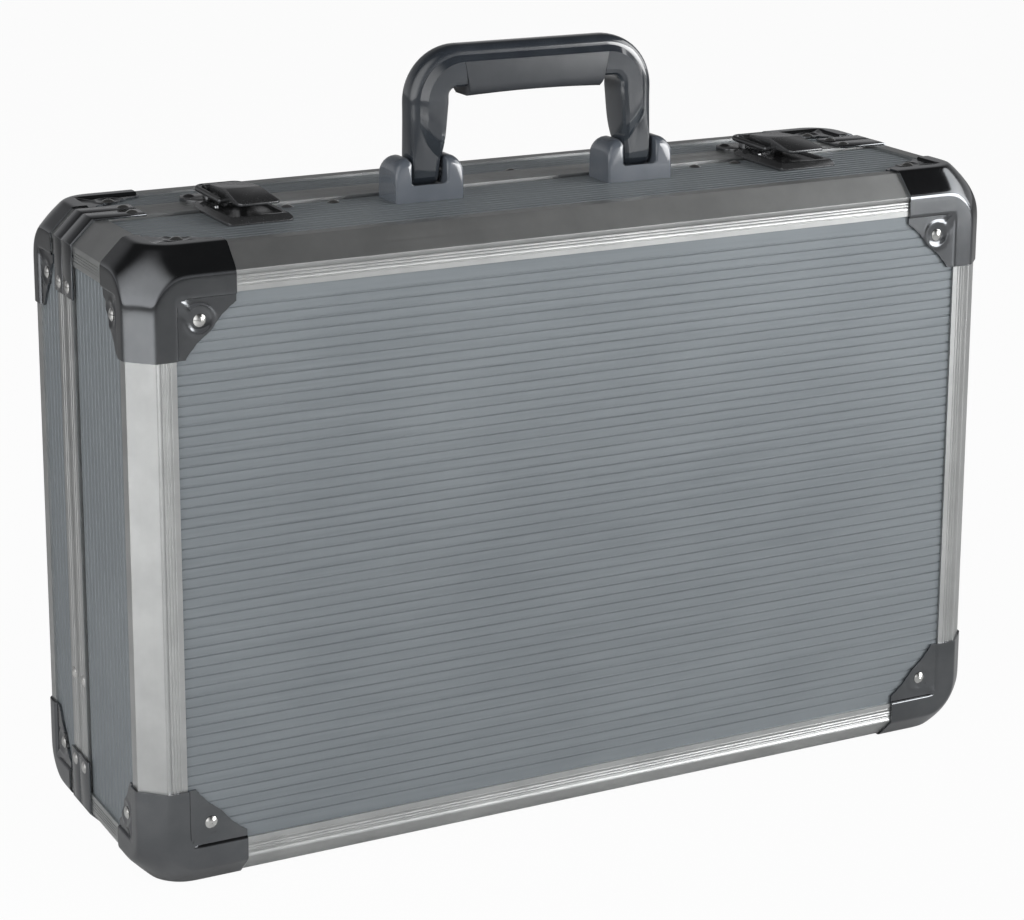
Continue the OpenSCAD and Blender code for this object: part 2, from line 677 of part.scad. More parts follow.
// The grip's seat, as a solid round the core, grown by o.
module grip_seat(o) {
  low = handle_rise - bar_h;
  for (s = [-1, 1]) mirror([0, s > 0 ? 1 : 0, 0])
    translate([-grip_half - o, core_d / 2 - o, low - 1])
      cube([2 * (grip_half + o), bar_d, bar_h - bridge_t + 1 + o]);
}
module handle_body() color(plastic_blue) at_handle() difference() {
  intersection() {
    rotate([90, 0, 0]) linear_extrude(bar_d + 2, center = true) handle_outline();
    along_x(handle_w + 2) handle_profile();
  }
  grip_seat(0);
  along_x(handle_w + 2) circle(handle_pin_r + pin_play);
}
module handle_grip() color(grip_grey) at_handle() {
  low = handle_rise - bar_h;
  top = handle_rise - bridge_t;
  b = bar_d / 2 + 0.4;
  c = core_d / 2;
  // a slight belly along the bottom and the sides
  intersection() {
    along_x(2 * grip_half) polygon(concat(
      arc(-b + bar_round, low - grip_drop + bar_round, bar_round, 180, 270, 6),
      arc(b - bar_round, low - grip_drop + bar_round, bar_round, 270, 360, 6),
      [[b, top], [c, top], [c, low], [-c, low], [-c, top], [-b, top]]));
    rotate([90, 0, 0]) linear_extrude(bar_d + 4, center = true) polygon(concat(
      [[grip_half, top], [-grip_half, top]],
      [for (i = [0:8]) let (t = i / 4 - 1)
        [t * grip_half, low - grip_drop + grip_arch * (1 - t * t)]]));
  }
}
module handle_brackets() color(plastic_blue) for (s = [-1, 1]) translate([s * leg_x, handle_y, wall_z])
  handle_bracket();
module handle_bracket() {
  w = bracket_w / 2;
  b = bracket_d / 2;
  top = b - bracket_draft;
  floor_z = pivot_rise - leg_r - 0.6;
  difference() {
    intersection() {
      rotate([90, 0, 0]) linear_extrude(bracket_d, center = true)
        polygon(round_rect(-w, w, 0, bracket_h, 0.01, ear_round));
      along_x(bracket_w + 1)
        polygon([[-b, 0], [b, 0], [b, 2], [top, bracket_h], [-top, bracket_h], [-b, 2]]);
    }
    // slot for the leg, with a low sill in front and behind
    along_x(slot_w) polygon([
      [-b - 1, bracket_h + 1], [-b - 1, sill_h], [-leg_r - 2, sill_h], [-leg_r - 0.8, floor_z],
      [leg_r + 0.8, floor_z], [leg_r + 2, sill_h], [b + 1, sill_h], [b + 1, bracket_h + 1]]);
    along_x(bracket_w - 8) translate([0, pivot_rise]) circle(handle_pin_r + pin_play);
    // raised outline on each ear's front and back
    for (t = [-1, 1], ear = [-1, 1]) mirror([0, t > 0 ? 1 : 0, 0]) mirror([ear > 0 ? 1 : 0, 0, 0])
      translate([0, -top - 1.2, 0]) rotate([90, 0, 0]) linear_extrude(b)
        polygon(round_rect(slot_w / 2 + 1.6, w - 1.8, sill_h + 1, bracket_h - 1.8, 0.5, ear_round / 2));
  }
}
module handle_pins() color(steel) for (s = [-1, 1]) translate([s * leg_x, handle_y, handle_z])
  along_pin(-bracket_w / 2 + 4, bracket_w / 2 - 4, handle_pin_r);

// ---------- latches ----------

// Latches are drawn with y = 0 on the parting plane and z = 0 on the top wall.
module at_latch(s) translate([s * latch_x, parting_y, wall_z]) children();

seam_top = recess;
lever_in = lever_w / 2 - sheet_t;
ear_out = lever_in - pass_gap;

// Plan of a plate with rounded corners, from y0 to y1.
module plate_plan(w, y0, y1, r) polygon(round_rect(-w / 2, w / 2, y0, y1, r, r));

module latch_plate(s) color(latch_black) at_latch(s) {
  y0 = -1 - tray_l;
  floor_z = seam_top + sheet_t;
  ear_in = ear_out - sheet_t;
  ear_r = 2.9;
  foot_z = floor_z - sheet_t / 2 - lever_axis_rise;
  difference() {
    intersection() {
      linear_extrude(tray_h) plate_plan(tray_w, y0, -1, 2.5);
      // bevelled flanks all round
      along_x(tray_w + 2) polygon([[y0, 0], [-1, 0], [-1, 1.6], [-1 - 1.2, tray_h],
        [y0 + tray_h - 0.8, tray_h], [y0, 0.8]]);
      rotate([90, 0, 0]) linear_extrude(3 * tray_l, center = true) polygon([[-tray_w / 2, 0],
        [tray_w / 2, 0], [tray_w / 2, 1.2], [tray_w / 2 - 2, tray_h], [-tray_w / 2 + 2, tray_h],
        [-tray_w / 2, 1.2]]);
    }
    // it straddles the seam profile
    translate([-tray_w, -seam_w - 0.1, -1]) cube([2 * tray_w, seam_w + 2, seam_top + 1]);
    // long pocket under the lever, open to the back between the rivet lobes
    translate([0, 0, floor_z]) linear_extrude(tray_h) {
      plate_plan(tray_w - 8, y0 + 4.4, -17, 2);
      plate_plan(lever_w + 1.6, y0 + 6, 3, 1);
    }
    // window between the ears
    translate([-ear_in + 0.4, -lever_axis_out - 4, -1]) cube([2 * ear_in - 0.8, 6, tray_h]);
  }
  // ears that carry the lever's pin; their backs lean forward, because the
  // lever's tail comes to lie there when it is thrown open
  lean = 115;
  for (t = [-1, 1]) mirror([t > 0 ? 1 : 0, 0, 0])
    translate([-ear_out, -lever_axis_out, lever_axis_rise])
      rotate([90, 0, 90]) linear_extrude(sheet_t) polygon(concat(
        [[-ear_r - 2.6, foot_z]], arc(0, 0, ear_r, 160, 90 - lean, 8),
        [[ear_r * sin(lean) + (foot_z - ear_r * cos(lean)) / tan(180 - lean), foot_z]]));
  translate([0, -lever_axis_out, lever_axis_rise])
    along_pin(-lever_w / 2 - 0.4, lever_w / 2 + 0.4, lever_pin_r);
  // rivets on the two rear lobes
  for (t = [-1, 1]) translate([t * plate_rivet_x, -9, tray_h]) rivet();
}

// Side outline of the lever, lowered by o under its top and open below if cut.
function lever_side(o, cut) = let (ay = -lever_axis_out, az = lever_axis_rise, by = -bow_out, bz = bow_rise)
  cut ? [[-lever_out - 1, lever_lip - o - 0.2], [by, ridge_rise - o], [ay + 3.4, lever_axis_rise + 4.6 - o],
         [ay + 3.4, -5], [-lever_out - 1, -5]]
  : concat([[-lever_out, lever_lip - sheet_t], [-lever_out, lever_lip], [by - 1, ridge_rise - 0.1],
      [by + 1, ridge_rise - 0.1], [ay + 2.5, lever_axis_rise + 4.6]],
    arc(ay, az, 3, 0, -90, 5), arc(by, bz, 3, -90, -150, 4),
    [[by - 8, bz + 0.3]]);

module latch_lever(s) color(latch_black) at_latch(s) {
  f = lever_w_front / 2;
  w = lever_w / 2;
  difference() {
    intersection() {
      along_x(lever_w_front + 2) polygon(lever_side(0, false));
      linear_extrude(2 * ridge_rise) polygon([[-f + 1.5, -lever_out], [f - 1.5, -lever_out],
        [f, -lever_out + 1.5], [w, -bow_out], [w, 0], [-w, 0], [-w, -bow_out], [-f, -lever_out + 1.5]]);
    }
    intersection() {
      along_x(lever_w_front + 2) polygon(lever_side(sheet_t, true));
      translate([0, 0, -5]) linear_extrude(3 * ridge_rise) polygon([
        [-f + sheet_t, -lever_out - 2], [f - sheet_t, -lever_out - 2], [lever_in, -bow_out],
        [lever_in, 1], [-lever_in, 1], [-lever_in, -bow_out]]);
    }
    translate([0, -lever_axis_out, lever_axis_rise]) along_pin(-20, 20, lever_pin_r + pin_play);
    translate([0, -bow_out, bow_rise]) along_pin(-20, 20, wire_r + pin_play);
  }
}

// Wire bow: pivots in the lever's sides and loops behind the keeper's hook.
module latch_bow(s) color(steel) at_latch(s) {
  run = bow_out + bar_back;
  tilt = atan((bar_rise - bow_rise) / run);
  long = run / cos(tilt);
  a = bow_w / 2;
  translate([0, -bow_out, bow_rise]) rotate([tilt, 0, 0]) {
    for (t = [-1, 1]) mirror([t > 0 ? 1 : 0, 0, 0]) {
      along_pin(-a, -lever_in, wire_r);
      translate([-a, 0, 0]) sphere(wire_r);
      translate([-a, 0, 0]) rotate([-90, 0, 0]) cylinder(h = long - bow_bend, r = wire_r);
      translate([-a + bow_bend, long - bow_bend, 0]) rotate([0, 0, 90])
        rotate_extrude(angle = 90) translate([bow_bend, 0]) circle(wire_r);
    }
    translate([0, long, 0]) along_pin(-a + bow_bend, a - bow_bend, wire_r);
  }
}

module latch_keeper(s) color(latch_black) at_latch(s) {
  y0 = 1.2;
  hook = bar_back - wire_r - pass_gap;
  difference() {
    union() {
      intersection() {
        linear_extrude(keeper_h) plate_plan(keeper_w, y0, y0 + keeper_l, 6.5);
        along_x(keeper_w + 2) polygon([[y0, 0], [y0 + keeper_l, 0], [y0 + keeper_l, 1.4],
          [y0 + keeper_l - 1.4, keeper_h], [y0, keeper_h]]);
      }
      // the hook that the bow's bar lies behind
      intersection() {
        linear_extrude(2 * bar_rise) plate_plan(lever_w, y0, hook, 1.5);
        along_x(lever_w + 2) polygon([[y0, 0], [hook, 0], [hook, bar_rise + 0.6],
          [hook - 0.8, bar_rise + 1.6],
          [y0 + 1.6, bar_rise + 2], [y0 + 0.4, bar_rise + 1], [y0, bar_rise - 1]]);
      }
    }
    translate([-keeper_w, -1, -1]) cube([2 * keeper_w, seam_w + 1.2, seam_top + 1]);
    // hollow under the hook
    along_x(lever_w - 2 * sheet_t)
      polygon([[y0 - 1, -1], [hook - sheet_t, -1], [hook - sheet_t, bar_rise], [y0 + 1.2, bar_rise + 0.4],
        [y0 + 1.2, seam_top + 1], [y0 - 1, seam_top + 1]]);
  }
  for (t = [-1, 1]) translate([t * plate_rivet_x, keeper_rivet_y, keeper_h]) rivet();
}

// ---------- pieces ----------

module base_face_panel() in_base() face_panel();
module base_wall_top() in_base() wall("top", base_d);
module base_wall_bottom() in_base() wall("bottom", base_d);
module base_wall_left() in_base() wall("left", base_d);
module base_wall_right() in_base() wall("right", base_d);
module base_edge_frame() in_base() edge_frame();
module base_corner_posts() in_base() corner_posts(base_d);
module base_seam_top() in_base() seam("top", base_d, "groove");
module base_seam_bottom() in_base() seam("bottom", base_d, "groove");
module base_seam_left() in_base() seam("left", base_d, "groove");
module base_seam_right() in_base() seam("right", base_d, "groove");
module base_cap_top_left() in_base() at_corner(false, true) corner_cap();
module base_cap_top_right() in_base() at_corner(true, true) corner_cap();
module base_cap_bottom_left() in_base() at_corner(false, false) corner_cap();
module base_cap_bottom_right() in_base() at_corner(true, false) corner_cap();
module base_seam_straps() in_base() seam_straps(base_d, strap_w_base);
module base_rivets() color(rivet_silver) in_base() {
  half_rivets(base_d, strap_w_base);
  bracket_end = leg_x + bracket_w / 2;
  free = latch_x - tray_w / 2 - bracket_end;
  for (s = [-1, 1], share = [handle_rivet_near, handle_rivet_far])
    translate([s * (bracket_end + share * free), base_d - handle_rivet_back, case_h - recess]) rivet();
}
module base_lining() in_base() lining(base_d);
module base_hinge_leaf() in_base() hinge_leaf(base_d, 0);
module hinge_pin() color(steel) translate([0, parting_y, cap_t + hinge_z])
  along_pin(-hinge_len / 2, hinge_len / 2, hinge_pin_r);
module base_stay_pins() stay_pins(-1);

module lid_face_panel() in_lid() face_panel();
module lid_wall_top() in_lid() wall("top", lid_d);
module lid_wall_bottom() in_lid() wall("bottom", lid_d);
module lid_wall_left() in_lid() wall("left", lid_d);
module lid_wall_right() in_lid() wall("right", lid_d);
module lid_edge_frame() in_lid() edge_frame();
module lid_corner_posts() in_lid() corner_posts(lid_d);
module lid_seam_top() in_lid() seam("top", lid_d, "tongue");
module lid_seam_bottom() in_lid() seam("bottom", lid_d, "tongue");
module lid_seam_left() in_lid() seam("left", lid_d, "tongue");
module lid_seam_right() in_lid() seam("right", lid_d, "tongue");
module lid_cap_top_left() in_lid() at_corner(false, true) corner_cap();
module lid_cap_top_right() in_lid() at_corner(true, true) corner_cap();
module lid_cap_bottom_left() in_lid() at_corner(false, false) corner_cap();
module lid_cap_bottom_right() in_lid() at_corner(true, false) corner_cap();
module lid_seam_straps() in_lid() seam_straps(lid_d, strap_w_lid);
module lid_rivets() color(rivet_silver) in_lid() {
  half_rivets(lid_d, strap_w_lid);
  for (s = [-1, 1])
    translate([lid_rivet_x + s * lid_rivet_step / 2, lid_d - seam_w - seam_gap - rivet_r, case_h - recess])
      rivet();
}
module lid_lining() in_lid() lining(lid_d);
module lid_hinge_leaf() in_lid() hinge_leaf(lid_d, 1);
module lid_stay_pins() stay_pins(1);

module stay_base_arm_left() stay_base_arm(false);
module stay_lid_arm_left() stay_lid_arm(false);
module stay_base_arm_right() stay_base_arm(true);
module stay_lid_arm_right() stay_lid_arm(true);
module latch_plate_left() latch_plate(-1);
module latch_bow_left() latch_bow(-1);
module latch_lever_left() latch_lever(-1);
module latch_keeper_left() latch_keeper(-1);
module latch_plate_right() latch_plate(1);
module latch_bow_right() latch_bow(1);
module latch_lever_right() latch_lever(1);
module latch_keeper_right() latch_keeper(1);

// ---------- output ----------
base_face_panel();
base_wall_top();
base_wall_bottom();
base_wall_left();
base_wall_right();
base_edge_frame();
base_corner_posts();
base_seam_top();
base_seam_bottom();
base_seam_left();
base_seam_right();
base_cap_top_left();
base_cap_top_right();
base_cap_bottom_left();
base_cap_bottom_right();
base_seam_straps();
base_rivets();
base_lining();
base_hinge_leaf();
hinge_pin();
base_stay_pins();
lid_face_panel();
lid_wall_top();
lid_wall_bottom();
lid_wall_left();
lid_wall_right();
lid_edge_frame();
lid_corner_posts();
lid_seam_top();
lid_seam_bottom();
lid_seam_left();
lid_seam_right();
lid_cap_top_left();
lid_cap_top_right();
lid_cap_bottom_left();
lid_cap_bottom_right();
lid_seam_straps();
lid_rivets();
lid_lining();
lid_hinge_leaf();
lid_stay_pins();
stay_base_arm_left();
stay_lid_arm_left();
stay_base_arm_right();
stay_lid_arm_right();
handle_brackets();
handle_pins();
handle_body();
handle_grip();
latch_plate_left();
latch_bow_left();
latch_lever_left();
latch_keeper_left();
latch_plate_right();
latch_bow_right();
latch_lever_right();
latch_keeper_right();
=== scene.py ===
import sys
import bmesh
import bpy
import json
import logging
import math
from collections.abc import Callable
from dataclasses import dataclass, field
from enum import Enum
from functools import cache
from itertools import product
from mathutils import Matrix, Vector

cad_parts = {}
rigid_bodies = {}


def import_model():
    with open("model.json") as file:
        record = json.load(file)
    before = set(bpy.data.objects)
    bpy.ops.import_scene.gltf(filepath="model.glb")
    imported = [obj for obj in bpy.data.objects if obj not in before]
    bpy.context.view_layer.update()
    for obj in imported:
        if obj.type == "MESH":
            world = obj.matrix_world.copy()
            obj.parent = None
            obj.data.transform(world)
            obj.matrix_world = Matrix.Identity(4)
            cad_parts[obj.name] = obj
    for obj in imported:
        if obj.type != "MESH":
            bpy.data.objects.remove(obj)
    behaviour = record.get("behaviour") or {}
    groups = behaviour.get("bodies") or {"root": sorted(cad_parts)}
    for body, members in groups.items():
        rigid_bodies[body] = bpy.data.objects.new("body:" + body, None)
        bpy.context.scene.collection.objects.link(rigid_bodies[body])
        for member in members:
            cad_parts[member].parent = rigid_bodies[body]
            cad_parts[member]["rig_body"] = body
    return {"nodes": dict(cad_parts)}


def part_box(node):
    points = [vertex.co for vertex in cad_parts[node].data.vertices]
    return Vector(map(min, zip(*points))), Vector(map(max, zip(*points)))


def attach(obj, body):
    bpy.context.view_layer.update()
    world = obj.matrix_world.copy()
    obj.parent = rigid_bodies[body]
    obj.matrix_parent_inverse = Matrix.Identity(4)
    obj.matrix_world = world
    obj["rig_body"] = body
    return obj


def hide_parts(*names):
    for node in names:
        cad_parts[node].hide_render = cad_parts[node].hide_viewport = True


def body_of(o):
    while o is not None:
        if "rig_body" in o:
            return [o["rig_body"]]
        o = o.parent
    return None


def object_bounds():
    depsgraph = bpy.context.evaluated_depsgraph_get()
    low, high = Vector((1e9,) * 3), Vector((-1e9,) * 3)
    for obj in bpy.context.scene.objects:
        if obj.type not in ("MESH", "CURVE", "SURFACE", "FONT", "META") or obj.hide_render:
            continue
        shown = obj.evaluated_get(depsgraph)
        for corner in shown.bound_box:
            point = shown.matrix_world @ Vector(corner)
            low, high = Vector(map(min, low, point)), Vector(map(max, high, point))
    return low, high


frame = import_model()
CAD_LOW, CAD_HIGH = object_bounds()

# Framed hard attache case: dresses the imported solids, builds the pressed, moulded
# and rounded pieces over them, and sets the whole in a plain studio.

MM = 0.001
Pair = tuple[float, float]
Triple = tuple[float, float, float]
Colour = Triple
Socket = bpy.types.NodeSocket
Value = float | tuple[float, ...] | Socket
EdgeTest = Callable[[bmesh.types.BMEdge], bool]
log = logging.getLogger("attache_case")


class Worded(Enum):
    """A choice whose word stands in the names of pieces."""

    @property
    def word(self) -> str:
        """The choice's word."""
        return self.name.lower()


class Side(Worded):
    """The two ends of the case, as signs along X."""

    LEFT = -1
    RIGHT = 1


class Half(Worded):
    """The two halves of the case, as signs along Y of their big faces."""

    BASE = -1
    LID = 1


class Way(Enum):
    """The direction in which a sheet or profile was rolled, drawn or brushed."""

    ALONG_X = 0
    ALONG_Y = 1
    ALONG_Z = 2


def clamp(value: float) -> float:
    """Holds a value between 0 and 1."""
    return min(max(value, 0.0), 1.0)


def ease(share: float) -> float:
    """Eases a share between 0 and 1 in and out."""
    return share * share * (3 - 2 * share)


# ---------------------------------------------------------------- materials


def fill(tree: bpy.types.NodeTree, node: bpy.types.Node, inputs: dict[str | int, Value]) -> None:
    """Sets or links some of a node's input sockets.

    Args:
        tree: The node's tree.
        node: The node.
        inputs: Each socket's name or number, and its value or the output that feeds it.
    """
    for key, value in inputs.items():
        if isinstance(value, Socket):
            tree.links.new(value, node.inputs[key])
        else:
            node.inputs[key].default_value = value


def add_node(tree: bpy.types.NodeTree, kind: str, *first: Value, **named: Value) -> bpy.types.Node:
    """Adds a node and sets or links its sockets.

    Args:
        tree: The tree that it goes into.
        kind: Blender's name of the node, without ShaderNode.
        first: What goes into its first sockets, in their order.
        named: What goes into sockets by name.

    Returns:
        The new node.
    """
    node = tree.nodes.new("ShaderNode" + kind)
    fill(tree, node, {**dict(enumerate(first)), **named})
    return node


class Bench:
    """A node tree under construction, with one Principled shader."""

    def __init__(self, name: str) -> None:
        """Starts the material.

        Args:
            name: Name of the new material.
        """
        self.material = bpy.data.materials.new(name)
        self.material.use_nodes = True
        self.tree = self.material.node_tree
        self.place = self.add("TexCoord").outputs["Object"]

    def add(self, kind: str, *first: Value, **named: Value) -> bpy.types.Node:
        """Adds a node, as add_node does."""
        return add_node(self.tree, kind, *first, **named)

    def set(self, **named: Value) -> None:
        """Sets or links the shader's sockets, named with underscores for spaces."""
        inputs = {key.replace("_", " "): value for key, value in named.items()}
        fill(self.tree, self.tree.nodes["Principled BSDF"], inputs)

    def scaled(self, scale: float | Triple) -> Socket:
        """Object coordinates stretched by a scale.

        Args:
            scale: Factor, or a factor on each axis.

        Returns:
            The stretched coordinates.
        """
        factors = scale if isinstance(scale, tuple) else (scale, scale, scale)
        return self.add("Mapping", self.place, Scale=factors).outputs["Vector"]

    def noise(self, scale: float | Triple, detail: float = 3.0, rough: float = 0.5) -> Socket:
        """Noise between 0 and 1 on Object coordinates.

        Args:
            scale: Cells per metre, or cells per metre on each axis.
            detail: Octaves.
            rough: Weight of the finer octaves.

        Returns:
            The noise.
        """
        place = self.scaled(scale)
        node = self.add("TexNoise", Vector=place, Scale=1.0, Detail=detail, Roughness=rough)
        return node.outputs["Fac"]

    def cells(self, scale: float) -> Socket:
        """Distance to the nearest point of a cell pattern, for pebbled grain.

        Args:
            scale: Cells per metre.

        Returns:
            The distance.
        """
        return self.add("TexVoronoi", Vector=self.scaled(scale), Scale=1.0).outputs["Distance"]

    def spread(
        self, source: Socket, to_low: float, to_high: float, low: float = 0.3, high: float = 0.7
    ) -> Socket:
        """Maps a pattern to a range, clamped.

        Args:
            source: The pattern.
            to_low: Result at the low end.
            to_high: Result at the high end.
            low: The pattern's value at the low end. Most of a noise lies between the usual two.
            high: The pattern's value at the high end.

        Returns:
            The mapped value.
        """
        return self.add("MapRange", source, low, high, to_low, to_high).outputs["Result"]

    def math(self, operation: str, first: Socket, second: Socket | float = 0.0) -> Socket:
        """One Math node.

        Args:
            operation: Blender's name of the operation.
            first: First operand.
            second: Second operand, where the operation has one.

        Returns:
            The result.
        """
        node = self.add("Math", first, second)
        node.operation = operation
        return node.outputs["Value"]

    def tones(
        self, source: Socket, first: Colour, second: Colour, low: float = 0.35, high: float = 0.65
    ) -> None:
        """Colours the piece from one colour to another along a pattern.

        Args:
            source: The pattern.
            first: The first colour.
            second: The second colour.
            low: Where the first colour ends.
            high: Where the second colour starts.
        """
        node = self.add("Mix", self.spread(source, 0.0, 1.0, low, high))
        node.data_type = "RGBA"
        # a Mix node's colour sockets share their names with other types' sockets
        fill(self.tree, node, {6: (*first, 1.0), 7: (*second, 1.0)})
        self.set(Base_Color=node.outputs[2])

    def relief(self, *layers: tuple[Socket, float, float]) -> None:
        """Chains bump layers into the shader's normal.

        Args:
            layers: Height, strength and depth in metres of each layer.
        """
        below = {}
        for height, strength, depth in layers:
            bump = self.add("Bump", Strength=strength, Distance=depth, Height=height, **below)
            below = {"Normal": bump.outputs["Normal"]}
        self.set(**below)


def along(way: Way, fine: float, stretch: float) -> Triple:
    """Noise scale for marks that run along one axis.

    Args:
        way: Direction of the marks.
        fine: Cells per metre across the marks.
        stretch: How much longer than wide the marks are.

    Returns:
        The scale on each axis.
    """
    return tuple(fine / stretch if axis == way.value else fine for axis in range(3))


@dataclass(frozen=True)
class Finish:
    """A finish, known by its material's name."""

    name: str

    def build(self) -> bpy.types.Material:
        """Makes the material.

        Returns:
            The new material.
        """
        bench = Bench(self.name)
        self.lay(bench)
        return bench.material

    def lay(self, bench: Bench) -> None:
        """Lays out the finish on a bench."""
        raise NotImplementedError(self.name)


@dataclass(frozen=True)
class PanelSkin(Finish):
    """Grooved sheet with a satin blue-grey finish, rolled along its grooves."""

    way: Way
    colour: Colour = (0.214, 0.237, 0.254)
    light: Colour = (0.250, 0.275, 0.292)
    rough: float = 0.46
    metallic: float = 0.55

    def lay(self, bench: Bench) -> None:
        """Lays roll marks, faint clouds and a fine grain.

        Args:
            bench: The material under construction.
        """
        streaks = bench.noise(along(self.way, 900.0, 40.0), 4.0, 0.6)
        clouds = bench.noise(9.0)
        bench.tones(bench.math("ADD", streaks, clouds), self.colour, self.light, 0.75, 1.25)
        rough = bench.spread(streaks, self.rough - 0.06, self.rough + 0.07)
        bench.set(Metallic=self.metallic, Roughness=rough)
        grain = bench.noise(2600.0, 2.0)
        bench.relief((streaks, 0.04, 0.05 * MM), (grain, 0.05, 0.05 * MM))


@dataclass(frozen=True)
class SatinAluminium(Finish):
    """Anodised extrusion with fine die lines along its length."""

    way: Way
    colour: Colour = (0.555, 0.565, 0.562)
    light: Colour = (0.63, 0.64, 0.635)
    rough: float = 0.40

    def lay(self, bench: Bench) -> None:
        """Lays die lines and a cloudy matt bloom.

        Args:
            bench: The material under construction.
        """
        lines = bench.noise(along(self.way, 1800.0, 300.0), 3.0, 0.7)
        bench.tones(bench.noise(40.0, 4.0, 0.6), self.colour, self.light)
        rough = bench.spread(lines, self.rough - 0.03, self.rough + 0.04)
        bench.set(Metallic=1.0, Roughness=rough)
        bench.relief((lines, 0.02, 0.02 * MM))


@dataclass(frozen=True)
class DarkPlating(Finish):
    """Dark lacquered metal of the caps, straps and latches."""

    colour: Colour = (0.168, 0.175, 0.184)
    light: Colour = (0.205, 0.213, 0.222)
    rough: float = 0.13
    metallic: float = 1.0

    def lay(self, bench: Bench) -> None:
        """Lays slow waves of the lacquer, clouds and rub marks.

        Args:
            bench: The material under construction.
        """
        peel = bench.noise(380.0, 2.0)
        clouds = bench.noise(60.0, 4.0, 0.6)
        rubs = bench.noise(along(Way.ALONG_Z, 1500.0, 6.25), 3.0, 0.7)
        bench.tones(clouds, self.colour, self.light, 0.35, 0.7)
        marks = bench.math("ADD", *(bench.math("MULTIPLY", part, 0.5) for part in (rubs, clouds)))
        rough = bench.spread(marks, self.rough - 0.02, self.rough + 0.04, 0.35, 0.65)
        bench.set(Metallic=self.metallic, Roughness=rough, Coat_Weight=0.15, Coat_Roughness=0.10)
        bench.relief((peel, 0.08, 0.08 * MM), (rubs, 0.02, 0.02 * MM))


@dataclass(frozen=True)
class BrightMetal(Finish):
    """Plain bright metal of rivets, pins, arms and hinge."""

    colour: Colour = (0.80, 0.80, 0.78)
    rough: float = 0.16
    scratch: float = 0.10
    dullness: float = 0.78

    def lay(self, bench: Bench) -> None:
        """Lays tool marks and a few dull spots.

        Args:
            bench: The material under construction.
        """
        marks = bench.noise(along(Way.ALONG_Y, 2200.0, 5.5), 3.0, 0.7)
        dull = tuple(part * self.dullness for part in self.colour)
        bench.tones(bench.noise(500.0), self.colour, dull, 0.45, 0.75)
        rough = bench.spread(marks, self.rough, self.rough + self.scratch)
        bench.set(Metallic=1.0, Roughness=rough)
        bench.relief((marks, 0.08, 0.03 * MM))


@dataclass(frozen=True)
class MouldedPlastic(Finish):
    """Glossy blue-grey moulding of the handle and its brackets."""

    colour: Colour = (0.022, 0.027, 0.034)
    light: Colour = (0.030, 0.036, 0.044)
    rough: float = 0.17

    def lay(self, bench: Bench) -> None:
        """Lays slow sink waves and a fine haze.

        Args:
            bench: The material under construction.
        """
        waves = bench.noise(70.0, 2.0)
        haze = bench.noise(350.0, 2.0)
        bench.tones(waves, self.colour, self.light)
        rough = bench.spread(haze, self.rough * 0.98, self.rough * 1.05)
        bench.set(Roughness=rough, Specular_IOR_Level=0.9)
        bench.set(Coat_Weight=0.9, Coat_Roughness=0.05, Coat_IOR=1.6)
        bench.relief((waves, 0.06, 0.12 * MM), (haze, 0.01, 0.02 * MM))


@dataclass(frozen=True)
class GripSkin(Finish):
    """Softer, finely pebbled grip."""

    colour: Colour = (0.048, 0.052, 0.058)
    light: Colour = (0.060, 0.064, 0.070)
    rough: float = 0.46

    def lay(self, bench: Bench) -> None:
        """Lays leather-like pebbles over worn patches.

        Args:
            bench: The material under construction.
        """
        worn = bench.noise(60.0)
        bench.tones(worn, self.colour, self.light)
        bench.set(Roughness=bench.spread(worn, self.rough + 0.06, self.rough - 0.08))
        bench.relief((bench.cells(1500.0), 0.25, 0.08 * MM))


@dataclass(frozen=True)
class LiningCloth(Finish):
    """Woven lining glued to the inside."""

    colour: Colour = (0.050, 0.053, 0.060)
    light: Colour = (0.085, 0.089, 0.098)
    threads: float = 900.0

    def lay(self, bench: Bench) -> None:
        """Lays a plain weave with slubs and a soft sheen.

        Args:
            bench: The material under construction.
        """
        turns = self.threads * 2.0 * math.pi
        axes = bench.add("SeparateXYZ", bench.place).outputs
        waves = [bench.math("SINE", bench.math("MULTIPLY", axis, turns)) for axis in axes]
        weave = bench.math("ADD", bench.math("ADD", waves[0], waves[1]), waves[2])
        slubs = bench.noise(300.0)
        thread = bench.spread(weave, 0.0, 1.0, -2.0, 2.0)
        tone = bench.math("MULTIPLY", thread, bench.spread(slubs, 0.6, 1.0))
        bench.tones(tone, self.colour, self.light, 0.0, 1.0)
        bench.set(Roughness=0.92, Sheen_Weight=0.35, Sheen_Roughness=0.4)
        bench.relief((thread, 0.5, 0.25 * MM), (slubs, 0.2, 0.10 * MM))


PANEL_ALONG = PanelSkin("panel_rolled_along_x", Way.ALONG_X)
PANEL_UP = PanelSkin("panel_rolled_along_z", Way.ALONG_Z)
FRAME_ALONG = SatinAluminium("profile_along_x", Way.ALONG_X)
FRAME_DEEP = SatinAluminium("profile_along_y", Way.ALONG_Y)
FRAME_UP = SatinAluminium("profile_along_z", Way.ALONG_Z)
CAP_METAL = DarkPlating("cap_plating")
LATCH_METAL = DarkPlating("latch_plating", (0.150, 0.152, 0.156), (0.190, 0.192, 0.197), 0.24, 0.9)
WIRE_METAL = DarkPlating("bow_plating", (0.140, 0.142, 0.146), (0.180, 0.182, 0.187), 0.20, 0.9)
RIVET_METAL = BrightMetal("rivet_aluminium")
HINGE_METAL = BrightMetal("hinge_zinc", (0.56, 0.56, 0.55), 0.30, 0.14)
STAY_STEEL = BrightMetal("stay_steel", (0.50, 0.50, 0.50), 0.28, 0.16)
HANDLE_PLASTIC = MouldedPlastic("handle_moulding")
BRACKET_PLASTIC = MouldedPlastic("bracket_moulding", (0.086, 0.099, 0.118), (0.104, 0.118, 0.139), 0.22)
GRIP_RUBBER = GripSkin("grip_rubber")
LINING_CLOTH = LiningCloth("lining_weave")


